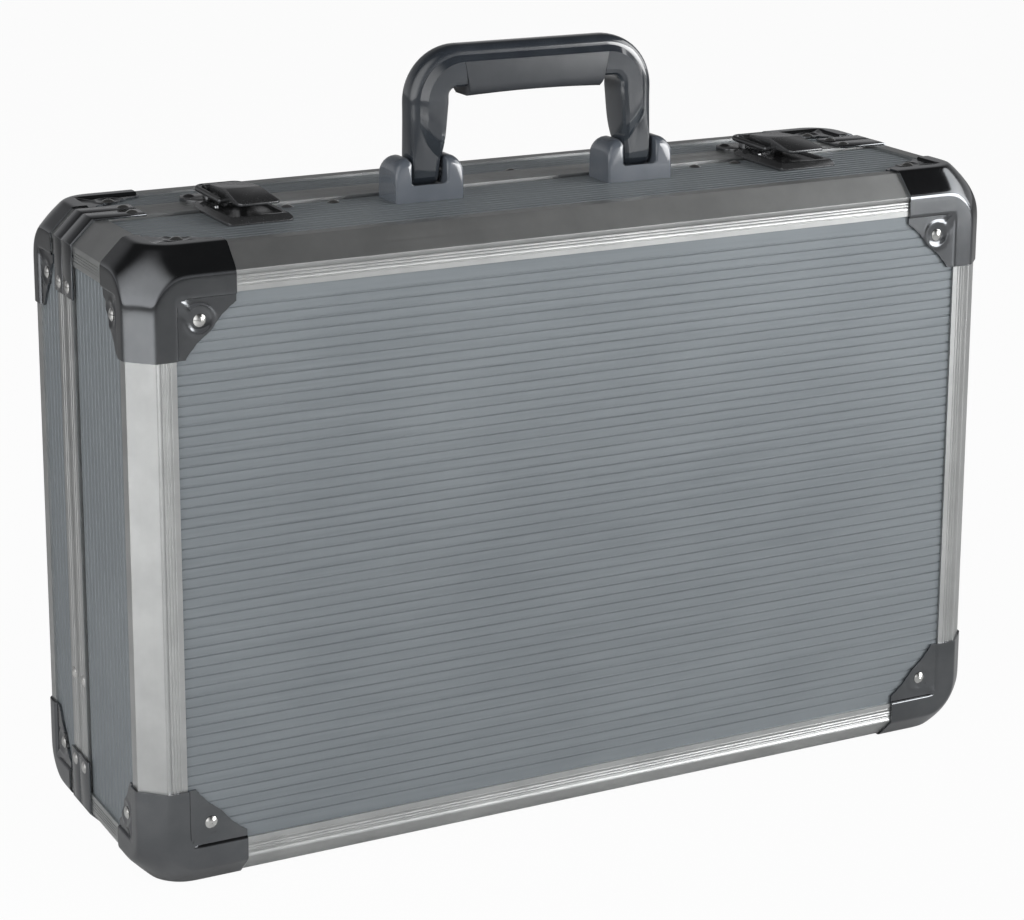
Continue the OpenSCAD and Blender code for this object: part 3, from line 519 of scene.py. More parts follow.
@cache
def material_of(finish: Finish) -> bpy.types.Material:
    """A finish's material, built when it is first asked for."""
    return finish.build()


def dress(obj: bpy.types.Object, finish: Finish) -> None:
    """Gives every material slot of an object one finish.

    Args:
        obj: The object to dress.
        finish: The finish to wear.
    """
    material = material_of(finish)
    if not obj.data.materials:
        obj.data.materials.append(material)
    for slot in obj.material_slots:
        slot.material = material


def dress_nodes(finish: Finish, *nodes: str) -> None:
    """Gives a finish to CAD nodes that keep their own solids.

    Args:
        finish: The finish to wear.
        nodes: Names of the nodes.
    """
    for node in nodes:
        dress(frame["nodes"][node], finish)
        log.info("%s: own solid in %s", node, finish.name)


# ------------------------------------------------------------------- pieces


def baked(bm: bmesh.types.BMesh, name: str) -> bpy.types.Mesh:
    """Turns a bmesh into a mesh and frees it.

    Args:
        bm: The shape.
        name: Name of the mesh.

    Returns:
        The new mesh.
    """
    mesh = bpy.data.meshes.new(name)
    bm.to_mesh(mesh)
    bm.free()
    return mesh


def placed(name: str, data: bpy.types.ID) -> bpy.types.Object:
    """Makes an object and links it to the scene.

    Args:
        name: Its name.
        data: Its mesh, lamp or camera.

    Returns:
        The new object.
    """
    obj = bpy.data.objects.new(name, data)
    bpy.context.scene.collection.objects.link(obj)
    return obj


def finish_piece(
    node: str, bm: bmesh.types.BMesh, finish: Finish, crisp: float = 32.0, word: str = "finished"
) -> bpy.types.Object:
    """Turns a bmesh into a dressed piece that takes a CAD node's place on its body.

    Args:
        node: Name of the CAD node.
        bm: The piece's shape in the part's frame, freed here.
        finish: The finish to wear.
        crisp: Edges sharper than this many degrees stay crisp.
        word: Last word of the piece's name.

    Returns:
        The new object.
    """
    name = f"{node}_{word}"
    mesh = baked(bm, name)
    for polygon in mesh.polygons:
        polygon.use_smooth = True
    mesh.set_sharp_from_angle(angle=math.radians(crisp))
    obj = placed(name, mesh)
    dress(obj, finish)
    body = body_of(frame["nodes"][node])[0]
    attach(obj, body)
    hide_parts(node)
    log.info("%s: %d faces on %s", name, len(mesh.polygons), body)
    return obj


def joined_solid(node: str) -> bmesh.types.BMesh:
    """A CAD node's solid with its loose triangles joined and its flats whole.

    Args:
        node: Name of the node.

    Returns:
        A new bmesh in the part's frame.
    """
    bm = bmesh.new()
    bm.from_mesh(frame["nodes"][node].data)
    bmesh.ops.remove_doubles(bm, verts=bm.verts, dist=0.002 * MM)
    bmesh.ops.dissolve_limit(
        bm, angle_limit=math.radians(0.8), use_dissolve_boundaries=False,
        verts=bm.verts, edges=bm.edges, delimit=set(),
    )
    return bm


def soften(
    bm: bmesh.types.BMesh, radius: float, segments: int = 2, sharper: float = 25.0,
    where: EdgeTest = lambda edge: True,
) -> None:
    """Rounds the sharp edges of a solid.

    Args:
        bm: The solid.
        radius: Radius of the rounding.
        segments: Steps across the rounding.
        sharper: Only edges sharper than this many degrees are rounded.
        where: Says which edges take part.
    """
    limit = math.radians(sharper)
    edges = [
        e for e in bm.edges
        if len(e.link_faces) == 2 and e.calc_face_angle(0.0) > limit and where(e)
    ]
    bmesh.ops.bevel(
        bm, geom=edges, offset=radius, offset_type="OFFSET", segments=segments, profile=0.5,
        affect="EDGES", clamp_overlap=True, material=-1, loop_slide=True,
    )


def soften_node(node: str, finish: Finish, radius: float) -> None:
    """Replaces a CAD node by its own solid with rounded edges.

    Args:
        node: Name of the node.
        finish: The finish to wear.
        radius: Radius of the rounding.
    """
    bm = joined_solid(node)
    soften(bm, radius)
    finish_piece(node, bm, finish)


def lofted(rings: list[list[Vector]]) -> bmesh.types.BMesh:
    """Draws a closed section along a row of places and caps both ends.

    Args:
        rings: The section's points at each place, all of one count.

    Returns:
        A new closed solid.
    """
    bm = bmesh.new()
    loop = bmesh.ops.create_circle(bm, cap_ends=False, segments=len(rings[0]), radius=1.0)["verts"]
    for vert, place in zip(loop, rings[0]):
        vert.co = place
    edges = bm.edges[:]
    bmesh.ops.contextual_create(bm, geom=edges)
    for ring in rings[1:]:
        made = bmesh.ops.extrude_edge_only(bm, edges=edges)["geom"]
        fresh = {g for g in made if isinstance(g, bmesh.types.BMVert)}
        # each new vertex is the one that a side edge joins to the last section
        follow = {}
        for vert in fresh:
            for edge in vert.link_edges:
                other = edge.other_vert(vert)
                if other not in fresh:
                    follow[other] = vert
        loop = [follow[vert] for vert in loop]
        for vert, place in zip(loop, ring):
            vert.co = place
        edges = [g for g in made if isinstance(g, bmesh.types.BMEdge) and fresh.issuperset(g.verts)]
    bmesh.ops.contextual_create(bm, geom=edges)
    bmesh.ops.remove_doubles(bm, verts=bm.verts, dist=0.005 * MM)
    bmesh.ops.recalc_face_normals(bm, faces=bm.faces)
    return bm


@dataclass
class CaseHalf:
    """Panels, profiles, straps, rivets and lining of one half."""

    half: Half
    rounding: float = 0.35 * MM
    bar: float = 21 * MM

    def dress(self, finish: Finish, *words: str) -> None:
        """Gives a finish to nodes of this half, named without the half's word."""
        dress_nodes(finish, *(f"{self.half.word}_{word}" for word in words))

    def dress_solids(self) -> None:
        """Gives the solids that keep their shape their finishes, with the marks along their length."""
        self.dress(PANEL_ALONG, "face_panel", "wall_top", "wall_bottom")
        self.dress(PANEL_UP, "wall_left", "wall_right")
        self.dress(FRAME_ALONG, "seam_top", "seam_bottom")
        self.dress(FRAME_UP, "seam_left", "seam_right")
        self.dress(FRAME_DEEP, "corner_posts")
        self.dress(LINING_CLOTH, "lining")
        self.dress(RIVET_METAL, "rivets")
        self.dress(HINGE_METAL, "hinge_leaf")
        self.dress(STAY_STEEL, "stay_pins")

    def build_edge_frame(self) -> None:
        """Replaces the edge frame by a copy whose upright bars are drawn along their own length."""
        node = f"{self.half.word}_edge_frame"
        bm = joined_solid(node)
        upright_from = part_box(node)[1].x - self.bar
        for face in bm.faces:
            face.material_index = int(abs(face.calc_center_median().x) > upright_from)
        piece = finish_piece(node, bm, FRAME_ALONG)
        piece.data.materials.append(material_of(FRAME_UP))

    def build(self) -> None:
        """Dresses the half and builds its edge frame and straps."""
        self.dress_solids()
        self.build_edge_frame()
        soften_node(f"{self.half.word}_seam_straps", CAP_METAL, self.rounding)


# -------------------------------------------------------------- corner caps


@dataclass
class PressedCap:
    """A corner cap pressed from sheet: three covers, a ball corner and three ears.

    It is shaped in corner coordinates, in which X, Y and Z grow inwards from
    the case's sharp outer corner, and mirrored into each of the eight corners.
    Its grid is densest in the fold zone, and calm is the density elsewhere.
    """

    reach: Vector = field(default_factory=lambda: Vector((49 * MM, 38 * MM, 49 * MM)))
    cells: tuple[int, int, int] = (66, 54, 66)
    calm: float = 0.75
    sheet: float = 1.2 * MM
    wall: float = 1.0 * MM
    chamfer: float = 10.5 * MM
    heart: float = 30 * MM
    ball: float = 43 * MM
    roundness: float = 1.6
    melt: float = 0.06
    melt_full: float = 0.9
    crisp_chamfer: int = 10
    crisp_edge: int = 70
    wide_in: float = 20.5 * MM
    narrow_in: float = 17.5 * MM
    ear_margin: float = 6 * MM
    ear_level: float = 0.06 * MM
    ear_step: float = 0.9 * MM
    bite: float = 3 * MM
    hollow: tuple[Pair, ...] = ((0.68, 0.16), (0.45, 0.45), (0.16, 0.68))
    lip: float = 2 * MM
    cut_margin: float = 1.5 * MM
    fold_zone: Pair = (8 * MM, 24 * MM)
    gusset_reach: float = 14 * MM
    gusset_half: float = 4.2 * MM
    gusset_high: float = 0.72 * MM
    gusset_fall: float = 1.15
    bead_half: float = 1.3 * MM
    bead_high: float = 0.30 * MM
    ring_radius: float = 6.4 * MM
    ring_half: float = 1.1 * MM
    ring_high: float = 0.34 * MM
    seat_radius: float = 4.4 * MM
    seat_deep: float = 0.30 * MM
    deepest: float = -0.35 * MM
    rivet: Vector = field(default_factory=lambda: Vector((31.5 * MM, 27.5 * MM, 31.5 * MM)))

    def skin_point(self, p: Vector) -> Vector:
        """Carries a point of the bare box corner onto the cap's outer skin.

        Args:
            p: Point on one of the three planes through the sharp corner.

        Returns:
            The point on the skin.
        """
        c = Vector([max(v, self.heart) for v in p])
        d = [abs(v) for v in p - c]
        flats = [v / (self.heart + self.sheet) for v in d]
        across = (2 * self.heart - self.chamfer) / math.sqrt(2) + self.sheet
        folds = [(d[i] + d[j]) / math.sqrt(2) / across for i, j in ((0, 1), (0, 2), (1, 2))]
        chamfers = sum(v**self.crisp_chamfer for v in folds) ** (1 / self.crisp_chamfer)
        corner = sum(v**self.roundness for v in d) ** (1 / self.roundness) / self.ball
        # the corner melts into the chamfers, and only where all three faces are near
        evenness = math.prod(d) * (math.sqrt(3) / math.hypot(*d)) ** 3
        near = min(evenness / self.melt_full, 1.0)
        melt = self.melt * max(chamfers, corner) * ease(near)
        fold = (chamfers + corner + math.sqrt((chamfers - corner) ** 2 + melt**2)) / 2
        size = (sum(v**self.crisp_edge for v in flats) + fold**self.crisp_edge) ** (1 / self.crisp_edge)
        return c + (p - c) / size

    def ear_height(self, spot: Pair, start: Pair, rivet: Pair) -> float:
        """Height of the skin over the frame's flat, in and around an ear.

        Args:
            spot: The place along both edges.
            start: Where the ear starts along both edges.
            rivet: The rivet's place along both edges.

        Returns:
            The height.
        """
        du, dv = spot[0] - start[0], spot[1] - start[1]
        inside = min(du, dv)
        if inside <= 0:
            return self.sheet
        run = ease(min(inside / self.ear_step, 1.0))
        height = self.sheet + (self.ear_level - self.sheet) * run
        # a gusset falls from the ear's inner corner towards the rivet
        off, reach = (du - dv) / math.sqrt(2), (du + dv) / math.sqrt(2)
        fade = max(0.0, 1 - reach / self.gusset_reach)
        roof = max(0.0, 1 - abs(off) / self.gusset_half) * min(1.0, self.gusset_fall * fade)
        bead = math.exp(-((off / self.bead_half) ** 2)) * fade
        height += (self.gusset_high * roof + self.bead_high * bead) * run
        # a low ridge bounds the drawn-down seat of the rivet
        r = math.hypot(spot[0] - rivet[0], spot[1] - rivet[1])
        ring = math.exp(-(((r - self.ring_radius) / self.ring_half) ** 2))
        height += self.ring_high * ring * run
        height -= self.seat_deep * math.exp(-((r / self.seat_radius) ** 4)) * run
        return max(height, self.deepest)

    def lines(self, axis: int) -> list[float]:
        """Places of the grid lines along one edge, closer where the skin folds.

        Args:
            axis: Axis of the edge.

        Returns:
            The places, from 0 to the end of the cap.
        """
        end, count, steps = self.reach[axis], self.cells[axis], 400
        low, high = self.fold_zone
        sums = [0.0]
        for i in range(steps):
            sums.append(sums[-1] + (1.0 if low < (i + 0.5) * end / steps < high else self.calm))
        places, k = [], 0
        for n in range(count + 1):
            target = sums[-1] * n / count
            while k < steps - 1 and sums[k + 1] < target:
                k += 1
            part = (target - sums[k]) / (sums[k + 1] - sums[k])
            places.append((k + part) * end / steps)
        return places

    def add_face(self, bm: bmesh.types.BMesh, u: int, v: int, start: Pair) -> None:
        """Adds the part of the cap that lies over one of the case's faces.

        Args:
            bm: The cap.
            u: Axis of the first edge.
            v: Axis of the second edge.
            start: Where the ear starts along both edges.
        """
        flat_axis = 3 - u - v
        nu, nv = self.cells[u], self.cells[v]
        made = bmesh.ops.create_grid(bm, x_segments=nu, y_segments=nv, size=0.5)["verts"]
        lines_u, lines_v = self.lines(u), self.lines(v)
        for vert in made:
            p = Vector((0, 0, 0))
            p[u] = lines_u[round((vert.co.x + 0.5) * nu)]
            p[v] = lines_v[round((vert.co.y + 0.5) * nv)]
            q = self.skin_point(p)
            height = self.ear_height((q[u], q[v]), start, (self.rivet[u], self.rivet[v]))
            if height < self.sheet:
                q[flat_axis] = -height
            vert.co = q
        self.trim_ear(bm, made, u, v, (start[0] + self.ear_margin, start[1] + self.ear_margin))

    def trim_ear(
        self, bm: bmesh.types.BMesh, verts: list[bmesh.types.BMVert], u: int, v: int, meet: Pair
    ) -> None:
        """Cuts an ear's free edge: a long hollow slant with a small cut at each end.

        Args:
            bm: The cap.
            verts: Vertices of the face that the ear belongs to.
            u: Axis of the first edge.
            v: Axis of the second edge.
            meet: Where the free edge meets the covers, along both edges.
        """
        lu, lv = self.reach[u], self.reach[v]
        mu, mv = meet
        low_u, low_v = mu - self.lip, mv - self.lip
        outline = [
            Vector((lu, low_v)), Vector((lu - self.bite, mv)),
            *(Vector((mu + (lu - mu) * a, mv + (lv - mv) * b)) for a, b in self.hollow),
            Vector((mu, lv - self.bite)), Vector((low_u, lv)),
        ]
        own = set(verts)

        def middle_of(face: bmesh.types.BMFace) -> Vector:
            """A face's middle, along both edges."""
            centre = face.calc_center_median()
            return Vector((centre[u], centre[v]))

        for start, end in zip(outline, outline[1:]):
            place, normal = Vector((0, 0, 0)), Vector((0, 0, 0))
            place[u], place[v] = start
            normal[u], normal[v] = end.y - start.y, start.x - end.x
            # only the cells near this part of the edge are cut
            middle, near = (start + end) / 2, (end - start).length / 2 + self.cut_margin
            faces = [
                f for f in bm.faces
                if own.issuperset(f.verts) and (middle_of(f) - middle).length < near
            ]
            edges = {e for f in faces for e in f.edges}
            corners = {c for f in faces for c in f.verts}
            cut = bmesh.ops.bisect_plane(
                bm, geom=list(corners) + list(edges) + faces, dist=0.001 * MM,
                plane_co=place, plane_no=normal,
            )
            own |= {g for g in cut["geom_cut"] if isinstance(g, bmesh.types.BMVert)}
        beyond = [
            f for f in bm.faces
            if own.issuperset(f.verts) and self.past_edge(middle_of(f), outline, (low_u, low_v))
        ]
        bmesh.ops.delete(bm, geom=beyond, context="FACES")

    @staticmethod
    def past_edge(p: Vector, outline: list[Vector], low: Pair) -> bool:
        """Says whether a point lies beyond an ear's free edge.

        Args:
            p: The point, along both edges.
            outline: The free edge, from the first cover to the second.
            low: Nothing is cut away before this place along either edge.

        Returns:
            True beyond the edge.
        """
        if p.x < low[0] or p.y < low[1]:
            return False
        for start, end in zip(outline, outline[1:]):
            if end.x <= p.x <= start.x:
                share = (start.x - p.x) / (start.x - end.x)
                return p.y > start.y + (end.y - start.y) * share
        return False

    def shape(self) -> bmesh.types.BMesh:
        """The cap in corner coordinates, a closed sheet of even thickness.

        Returns:
            A new bmesh.
        """
        bm = bmesh.new()
        # the frame's flats are wide on the big face and beside it along the height
        self.add_face(bm, 0, 2, (self.wide_in, self.wide_in))
        self.add_face(bm, 1, 2, (self.narrow_in, self.wide_in))
        self.add_face(bm, 0, 1, (self.narrow_in, self.narrow_in))
        bmesh.ops.remove_doubles(bm, verts=bm.verts, dist=0.01 * MM)
        bmesh.ops.recalc_face_normals(bm, faces=bm.faces)
        probe = max(bm.faces, key=lambda f: f.calc_center_median().x)
        if probe.normal.y + probe.normal.z > 0:
            bmesh.ops.reverse_faces(bm, faces=bm.faces)
        bmesh.ops.solidify(bm, geom=bm.faces[:], thickness=self.wall)
        bmesh.ops.recalc_face_normals(bm, faces=bm.faces)
        return bm

    def build(self) -> None:
        """Builds the eight caps from one pressing."""
        master = baked(self.shape(), "cap_pressing")
        low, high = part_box("base_edge_frame")[0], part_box("lid_edge_frame")[1]
        for half, side, top in product(Half, Side, (True, False)):
            corner = Vector((
                low.x if side is Side.LEFT else high.x,
                low.y if half is Half.BASE else high.y,
                high.z if top else low.z,
            ))
            signs = (-side.value, -half.value, -1 if top else 1)
            bm = bmesh.new()
            bm.from_mesh(master)
            place = Matrix.Translation(corner) @ Matrix.Diagonal((*signs, 1))
            bmesh.ops.transform(bm, matrix=place, verts=bm.verts)
            if math.prod(signs) < 0:
                bmesh.ops.reverse_faces(bm, faces=bm.faces)
            node = f"{half.word}_cap_{'top' if top else 'bottom'}_{side.word}"
            finish_piece(node, bm, CAP_METAL, crisp=50.0, word="pressed")
        bpy.data.meshes.remove(master)


# ------------------------------------------------------- handle and latches


@dataclass(frozen=True)
class Station:
    """Place of one section of the handle, in points across and up from the pivot.

    The grip's seat is cut where seat is true. The climb is how far up the leg the
    section lies, from 0 to 1, and -1 off the leg.
    """

    outer: Vector
    inner: Vector
    seat: bool = False
    climb: float = -1.0


@dataclass
class CarryingHandle:
    """The folding handle: a lofted body with a raised rim, its grip, brackets and pins.

    Sections are set out in the handle's own plane: across along X, up from the
    pivot axis, and the depth along Y.
    """

    half: float = 66.5 * MM
    rise: float = 60.6 * MM
    bar: float = 20.0 * MM
    bar_depth: float = 10.5 * MM
    shoulder: float = 27.0 * MM
    leg_step: float = 4.0 * MM
    foot_x: float = 58.0 * MM
    foot_width: float = 15.5 * MM
    foot_depth: float = 6.8 * MM
    foot_marks: tuple[float, ...] = (1.0, 0.96, 0.82, 0.6, 0.35)
    inner_round: float = 4.0 * MM
    edge_roll: float = 1.3 * MM
    inner_roll: float = 3.4 * MM
    inner_turns: Pair = (35.0, 65.0)
    rim: float = 4.8 * MM
    rim_depth: float = 7.4 * MM
    rim_extra: float = 0.4 * MM
    rim_from: float = 4.0 * MM
    rim_growth: float = 30.0 * MM
    rim_powers: Pair = (1.3, 0.9)
    facet: float = 0.2 * MM
    facet_growth: float = 2.8 * MM
    crease_low: float = 6.0 * MM
    crease_fall: float = 24.0 * MM
    crease_power: float = 1.7
    scoop: float = 17.0 * MM
    scoop_power: float = 2.6
    bridge: float = 7.6 * MM
    bridge_gap: float = 0.3 * MM
    core: float = 5.0 * MM
    seat_step: float = 0.05 * MM
    grip_half: float = 40.0 * MM
    grip_marks: Pair = (0.75, 0.375)
    grip_slant: float = 2.4 * MM
    grip_gap: float = 0.7 * MM
    slant_end: float = 1.3
    grip_round: float = 3.2 * MM
    grip_edge: float = 0.35 * MM
    bracket_half: float = 18.0 * MM
    bracket_deep: float = 10.8 * MM
    bracket_high: float = 21.0 * MM
    bracket_bend: float = 6.0 * MM
    bracket_fall: float = 0.62
    bracket_round: float = 0.9 * MM
    bracket_lean: float = 0.09
    bracket_marks: tuple[float, ...] = (0.0, 0.25, 0.8, 1.5, 2.0, 2.1, 3.2, 4.5, 6.0)
    ear_outer: float = 6.5 * MM
    ear_inner: float = 1.4 * MM
    ear_flat: float = 0.1 * MM
    ear_waist: float = 0.55
    slot: float = 9.3 * MM
    slot_corner: float = 1.0 * MM
    sill: float = 8.0 * MM
    sill_depth: float = 2.05 * MM
    foot_gap: float = 0.6 * MM
    pivot: Vector = field(init=False)

    def __post_init__(self) -> None:
        """Reads the pivot axis off the pins."""
        low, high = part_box("handle_pins")
        self.pivot = (low + high) / 2

    def leg_outline(self, t: float) -> Pair:
        """Outer and inner outline of the left leg.

        Args:
            t: 0 at the pivot axis, 1 under the shoulder.

        Returns:
            Their places across.
        """
        outer_foot, inner_foot = -self.foot_x - self.foot_width / 2, -self.foot_x + self.foot_width / 2
        inner_top = self.foot_width + self.leg_step - self.half
        outer = outer_foot + (-self.half - outer_foot) * (1 - (1 - t) ** 2)
        return outer, inner_foot + (inner_top - inner_foot) * t

    def stations(self) -> list[Station]:
        """The sections of the left half, from foot to middle.

        Returns:
            Their places.
        """
        top, low = self.rise, self.rise - self.bar
        straight = top - self.shoulder
        found = []
        outer, inner = self.leg_outline(0.0)
        for drop in self.foot_marks:
            z = -self.foot_depth * drop
            found.append(Station(Vector((outer, z)), Vector((inner, z))))
        count = 20
        for i in range(count + 1):
            t = i / count
            outer, inner = self.leg_outline(t)
            found.append(Station(Vector((outer, straight * t)), Vector((inner, straight * t)), climb=t))
        # the outer outline turns round the shoulder and the inner one climbs on, then turns
        hub = Vector((-self.half + self.shoulder, straight))
        heel = Vector((inner + self.inner_round, low - self.inner_round))
        count, level = 16, 3
        for i in range(1, count + 1):
            turn = math.pi - i / count * math.pi / 2
            way = Vector((math.cos(turn), math.sin(turn)))
            late = math.pi - max(i - level, 0) / (count - level) * math.pi / 2
            bend = Vector((math.cos(late), math.sin(late))) * self.inner_round
            bend.y -= (low - self.inner_round - straight) * (1 - min(i / level, 1.0))
            found.append(Station(hub + way * self.shoulder, heel + bend))
        # the seat starts in a step, with a slanted end
        seat_top, seat_low = -self.grip_half, -self.grip_half + self.grip_slant
        for step, seat in ((0.0, False), (self.seat_step, True)):
            found.append(Station(Vector((seat_top + step, top)), Vector((seat_low + step, low)), seat))
        for share in self.grip_marks:
            x = -share * self.grip_half
            found.append(Station(Vector((x, top)), Vector((x, low)), True))
        return found

    def front_depth(self, share: float, up: float) -> float:
        """Depth of the front face: a flat foot under a scooped, deeper body.

        Args:
            share: 0 at the outer outline, 1 at the inner one.
            up: Height over the pivot axis.

        Returns:
            Distance of the face from the middle plane.
        """
        if up < 0:
            return math.sqrt(max(self.foot_depth**2 - up**2, 0.0))
        t = clamp((up - self.crease(share)) / self.scoop)
        return self.foot_depth + (self.bar_depth - self.foot_depth) * (1 - (1 - t) ** self.scoop_power)

    def crease(self, share: float) -> float:
        """Height of the crease over the flat foot, falling towards the inner outline."""
        return self.crease_low + self.crease_fall * (1 - min(share, 1.0)) ** self.crease_power

    def leg_spot(self, share: float, climb: float) -> Vector:
        """Spot on the left leg, so that the middle section runs along the scoop's crease.

        Args:
            share: 0 at the outer outline, 1 at the inner one.
            climb: 0 at the pivot axis, 1 under the shoulder.

        Returns:
            The spot, across and up.
        """
        edge, top = self.crease(share), self.rise - self.shoulder
        up = edge * climb * 2 if climb < 0.5 else edge + (top - edge) * (climb * 2 - 1)
        outer, inner = self.leg_outline(up / top)
        return Vector((outer + (inner - outer) * share, up))

    def section(self, at: Station) -> list[Vector]:
        """Front half of a closed section, from the outer outline to the inner one.

        Args:
            at: The section's place.

        Returns:
            Points relative to the pivot: across, depth, up.
        """
        width = (at.inner - at.outer).length
        way = (at.inner - at.outer) / width

        def place(run: float) -> Vector:
            """The spot at a distance from the outer outline.

            Args:
                run: The distance.

            Returns:
                The spot, across and up.
            """
            if at.climb < 0:
                return at.outer + way * run
            return self.leg_spot(run / width, at.climb)

        def deep(run: float) -> float:
            """The front face's depth there."""
            return self.front_depth(run / width, place(run).y)

        # the rim grows out of the foot's plain rolled edge
        grown = ease(clamp((place(0.0).y - self.rim_from) / self.rim_growth))
        edge = self.edge_roll + (self.rim - self.edge_roll) * grown
        side = min(self.rim_depth, self.front_depth(0.0, min(at.outer.y, 0.0)) + self.rim_extra * grown)
        across, outward = self.rim_powers
        points: list[Pair] = [(0.0, 0.0)]
        for i in range(1, 11):
            turn = i / 10 * math.pi / 2
            points.append((edge * (1 - math.cos(turn)) ** across, side * math.sin(turn) ** outward))
        facet = edge + self.facet + self.facet_growth * grown
        points.append((facet, max(deep(facet), side)))
        edge_run = max(self.bridge, facet + self.bridge_gap)
        if at.seat:
            points.append((edge_run, deep(edge_run)))
            for part in (0.005, 0.2, 0.4, 0.6, 0.8, 0.9, 1.0):
                points.append((edge_run + (width - edge_run) * part, self.core))
            points.append((width, self.core * 0.5))
        else:
            last = width - self.inner_roll
            for part in (0.0, 0.2, 0.4, 0.6, 0.8, 1.0):
                run = edge_run + (last - edge_run) * part
                points.append((run, deep(run)))
            round_in = min(self.inner_roll, deep(width) * 0.9)
            for turn in map(math.radians, self.inner_turns):
                depth = deep(width) - round_in * (1 - math.cos(turn))
                points.append((last + self.inner_roll * math.sin(turn), depth))
            points.append((width, max(deep(width) - round_in, 0.0) * 0.8))
        points.append((width, 0.0))
        return [Vector((place(run).x, -depth, place(run).y)) for run, depth in points]

    def ring(self, at: Station) -> list[Vector]:
        """A whole closed section, front half first.

        Args:
            at: The section's place.

        Returns:
            Points relative to the pivot: across, depth, up.
        """
        front = self.section(at)
        return front + [Vector((p.x, -p.y, p.z)) for p in reversed(front[1:-1])]

    def build_body(self) -> None:
        """Lofts the body from foot to foot."""
        left = [self.ring(station) for station in self.stations()]
        right = [[Vector((-p.x, p.y, p.z)) for p in ring] for ring in reversed(left)]
        bm = lofted(left + right)
        bmesh.ops.translate(bm, vec=self.pivot, verts=bm.verts)
        finish_piece("handle_body", bm, HANDLE_PLASTIC, crisp=17.0)

    def build_grip(self) -> None:
        """Softens the grip's edges and slants its ends with its seat."""
        bm = joined_solid("handle_grip")
        low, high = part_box("handle_grip")
        end_zone, sole, short = 2 * MM, 7 * MM, 2 * MM
        for vert in bm.verts:
            if abs(vert.co.x) > self.grip_half - end_zone:
                below = (high.z - vert.co.z) / (self.bar - self.bridge)
                slant = self.grip_slant * min(below, self.slant_end)
                vert.co.x -= math.copysign(slant + self.grip_gap, vert.co.x)

        def low_and_long(edge: bmesh.types.BMEdge) -> bool:
            """Says whether an edge runs along the grip's underside."""
            a, b = (vert.co for vert in edge.verts)
            return max(a.z, b.z) < low.z + sole and abs(a.x - b.x) > short

        soften(bm, self.grip_round, segments=5, where=low_and_long)
        soften(bm, self.grip_edge, sharper=50.0)
        finish_piece("handle_grip", bm, GRIP_RUBBER)

    def bracket_outline(self, inset: float, top: float, floor: float) -> list[Vector]:
        """Outline of a bracket at one depth: two rounded ears with a slot between.

        Args:
            inset: How far the outline is drawn in.
            top: Height of the ears there.
            floor: Height of the slot's floor there.

        Returns:
            Points across and up, from the left foot to the right foot.
        """
        outer, inner = self.bracket_half - inset, self.slot + inset
        high, small, corner = top - inset, self.ear_inner, self.slot_corner
        big = min(self.ear_outer, outer - inner - small - self.ear_flat)
        half = [Vector((-outer, 0)), Vector((-outer, (high - big) * self.ear_waist))]
        for x, radius, start, steps in (
            (-outer + big, big, math.pi, 6), (-inner - small, small, math.pi / 2, 3),
        ):
            for i in range(steps + 1):
                turn = start - i / steps * math.pi / 2
                half.append(Vector((x + radius * math.cos(turn), high - radius + radius * math.sin(turn))))
        half += [Vector((-inner, floor + corner)), Vector((-inner + corner, floor))]
        return half + [Vector((-p.x, p.y)) for p in reversed(half)]

    def bracket_ring(self, x: float, wall: float, y: float) -> list[Vector]:
        """A bracket's outline at one depth, in the part's frame.

        Args:
            x: The bracket's middle.
            wall: Height of the wall that it stands on.
            y: Depth from its middle.

        Returns:
            Its points.
        """
        edge, bend = self.bracket_deep - abs(y), self.bracket_bend
        inset = self.bracket_round * (1 - min(edge / self.bracket_round, 1.0)) ** 1.6
        over = max(bend - edge, 0.0)
        top = self.bracket_high - (bend - math.sqrt(max(bend**2 - over**2, 0.0))) * self.bracket_fall
        foot_floor = self.pivot.z - wall - self.foot_depth - self.foot_gap
        floor = self.sill if edge < self.sill_depth else foot_floor
        ring = []
        for p in self.bracket_outline(inset, top, floor):
            # the faces lean in a little towards the top
            lean = 1 - self.bracket_lean * p.y / self.bracket_high
            ring.append(Vector((x + p.x, self.pivot.y + y * lean, wall + p.y)))
        return ring

    def build_brackets(self) -> None:
        """Lofts both brackets from front to back."""
        whole = bmesh.new()
        wall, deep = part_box("handle_brackets")[0].z, self.bracket_deep
        depths = [mark * MM for mark in self.bracket_marks]
        marks = [-deep + d for d in depths] + [deep - d for d in reversed(depths)]
        for side in Side:
            rings = [self.bracket_ring(side.value * self.foot_x, wall, y) for y in marks]
            mesh = baked(lofted(rings), "bracket_half")
            whole.from_mesh(mesh)
            bpy.data.meshes.remove(mesh)
        finish_piece("handle_brackets", whole, BRACKET_PLASTIC, crisp=28.0)

    def build(self) -> None:
        """Builds and dresses the handle."""
        self.build_body()
        self.build_grip()
        self.build_brackets()
        dress_nodes(STAY_STEEL, "handle_pins")


@dataclass
class DrawLatch:
    """One latch: base plate, lever, wire bow and keeper."""

    side: Side
    rounding: float = 0.25 * MM

    def build(self) -> None:
        """Builds and dresses the latch."""
        for part in ("plate", "lever", "keeper"):
            soften_node(f"latch_{part}_{self.side.word}", LATCH_METAL, self.rounding)
        dress_nodes(WIRE_METAL, f"latch_bow_{self.side.word}")


@dataclass
class HingeAndStays:
    """The long hinge's pin and the two folding stays."""

    rounding: float = 0.2 * MM

    def build(self) -> None:
        """Dresses the pin and builds the arms."""
        dress_nodes(HINGE_METAL, "hinge_pin")
        for side, half in product(Side, Half):
            soften_node(f"stay_{half.word}_arm_{side.word}", STAY_STEEL, self.rounding)


# ------------------------------------------------------------------- studio


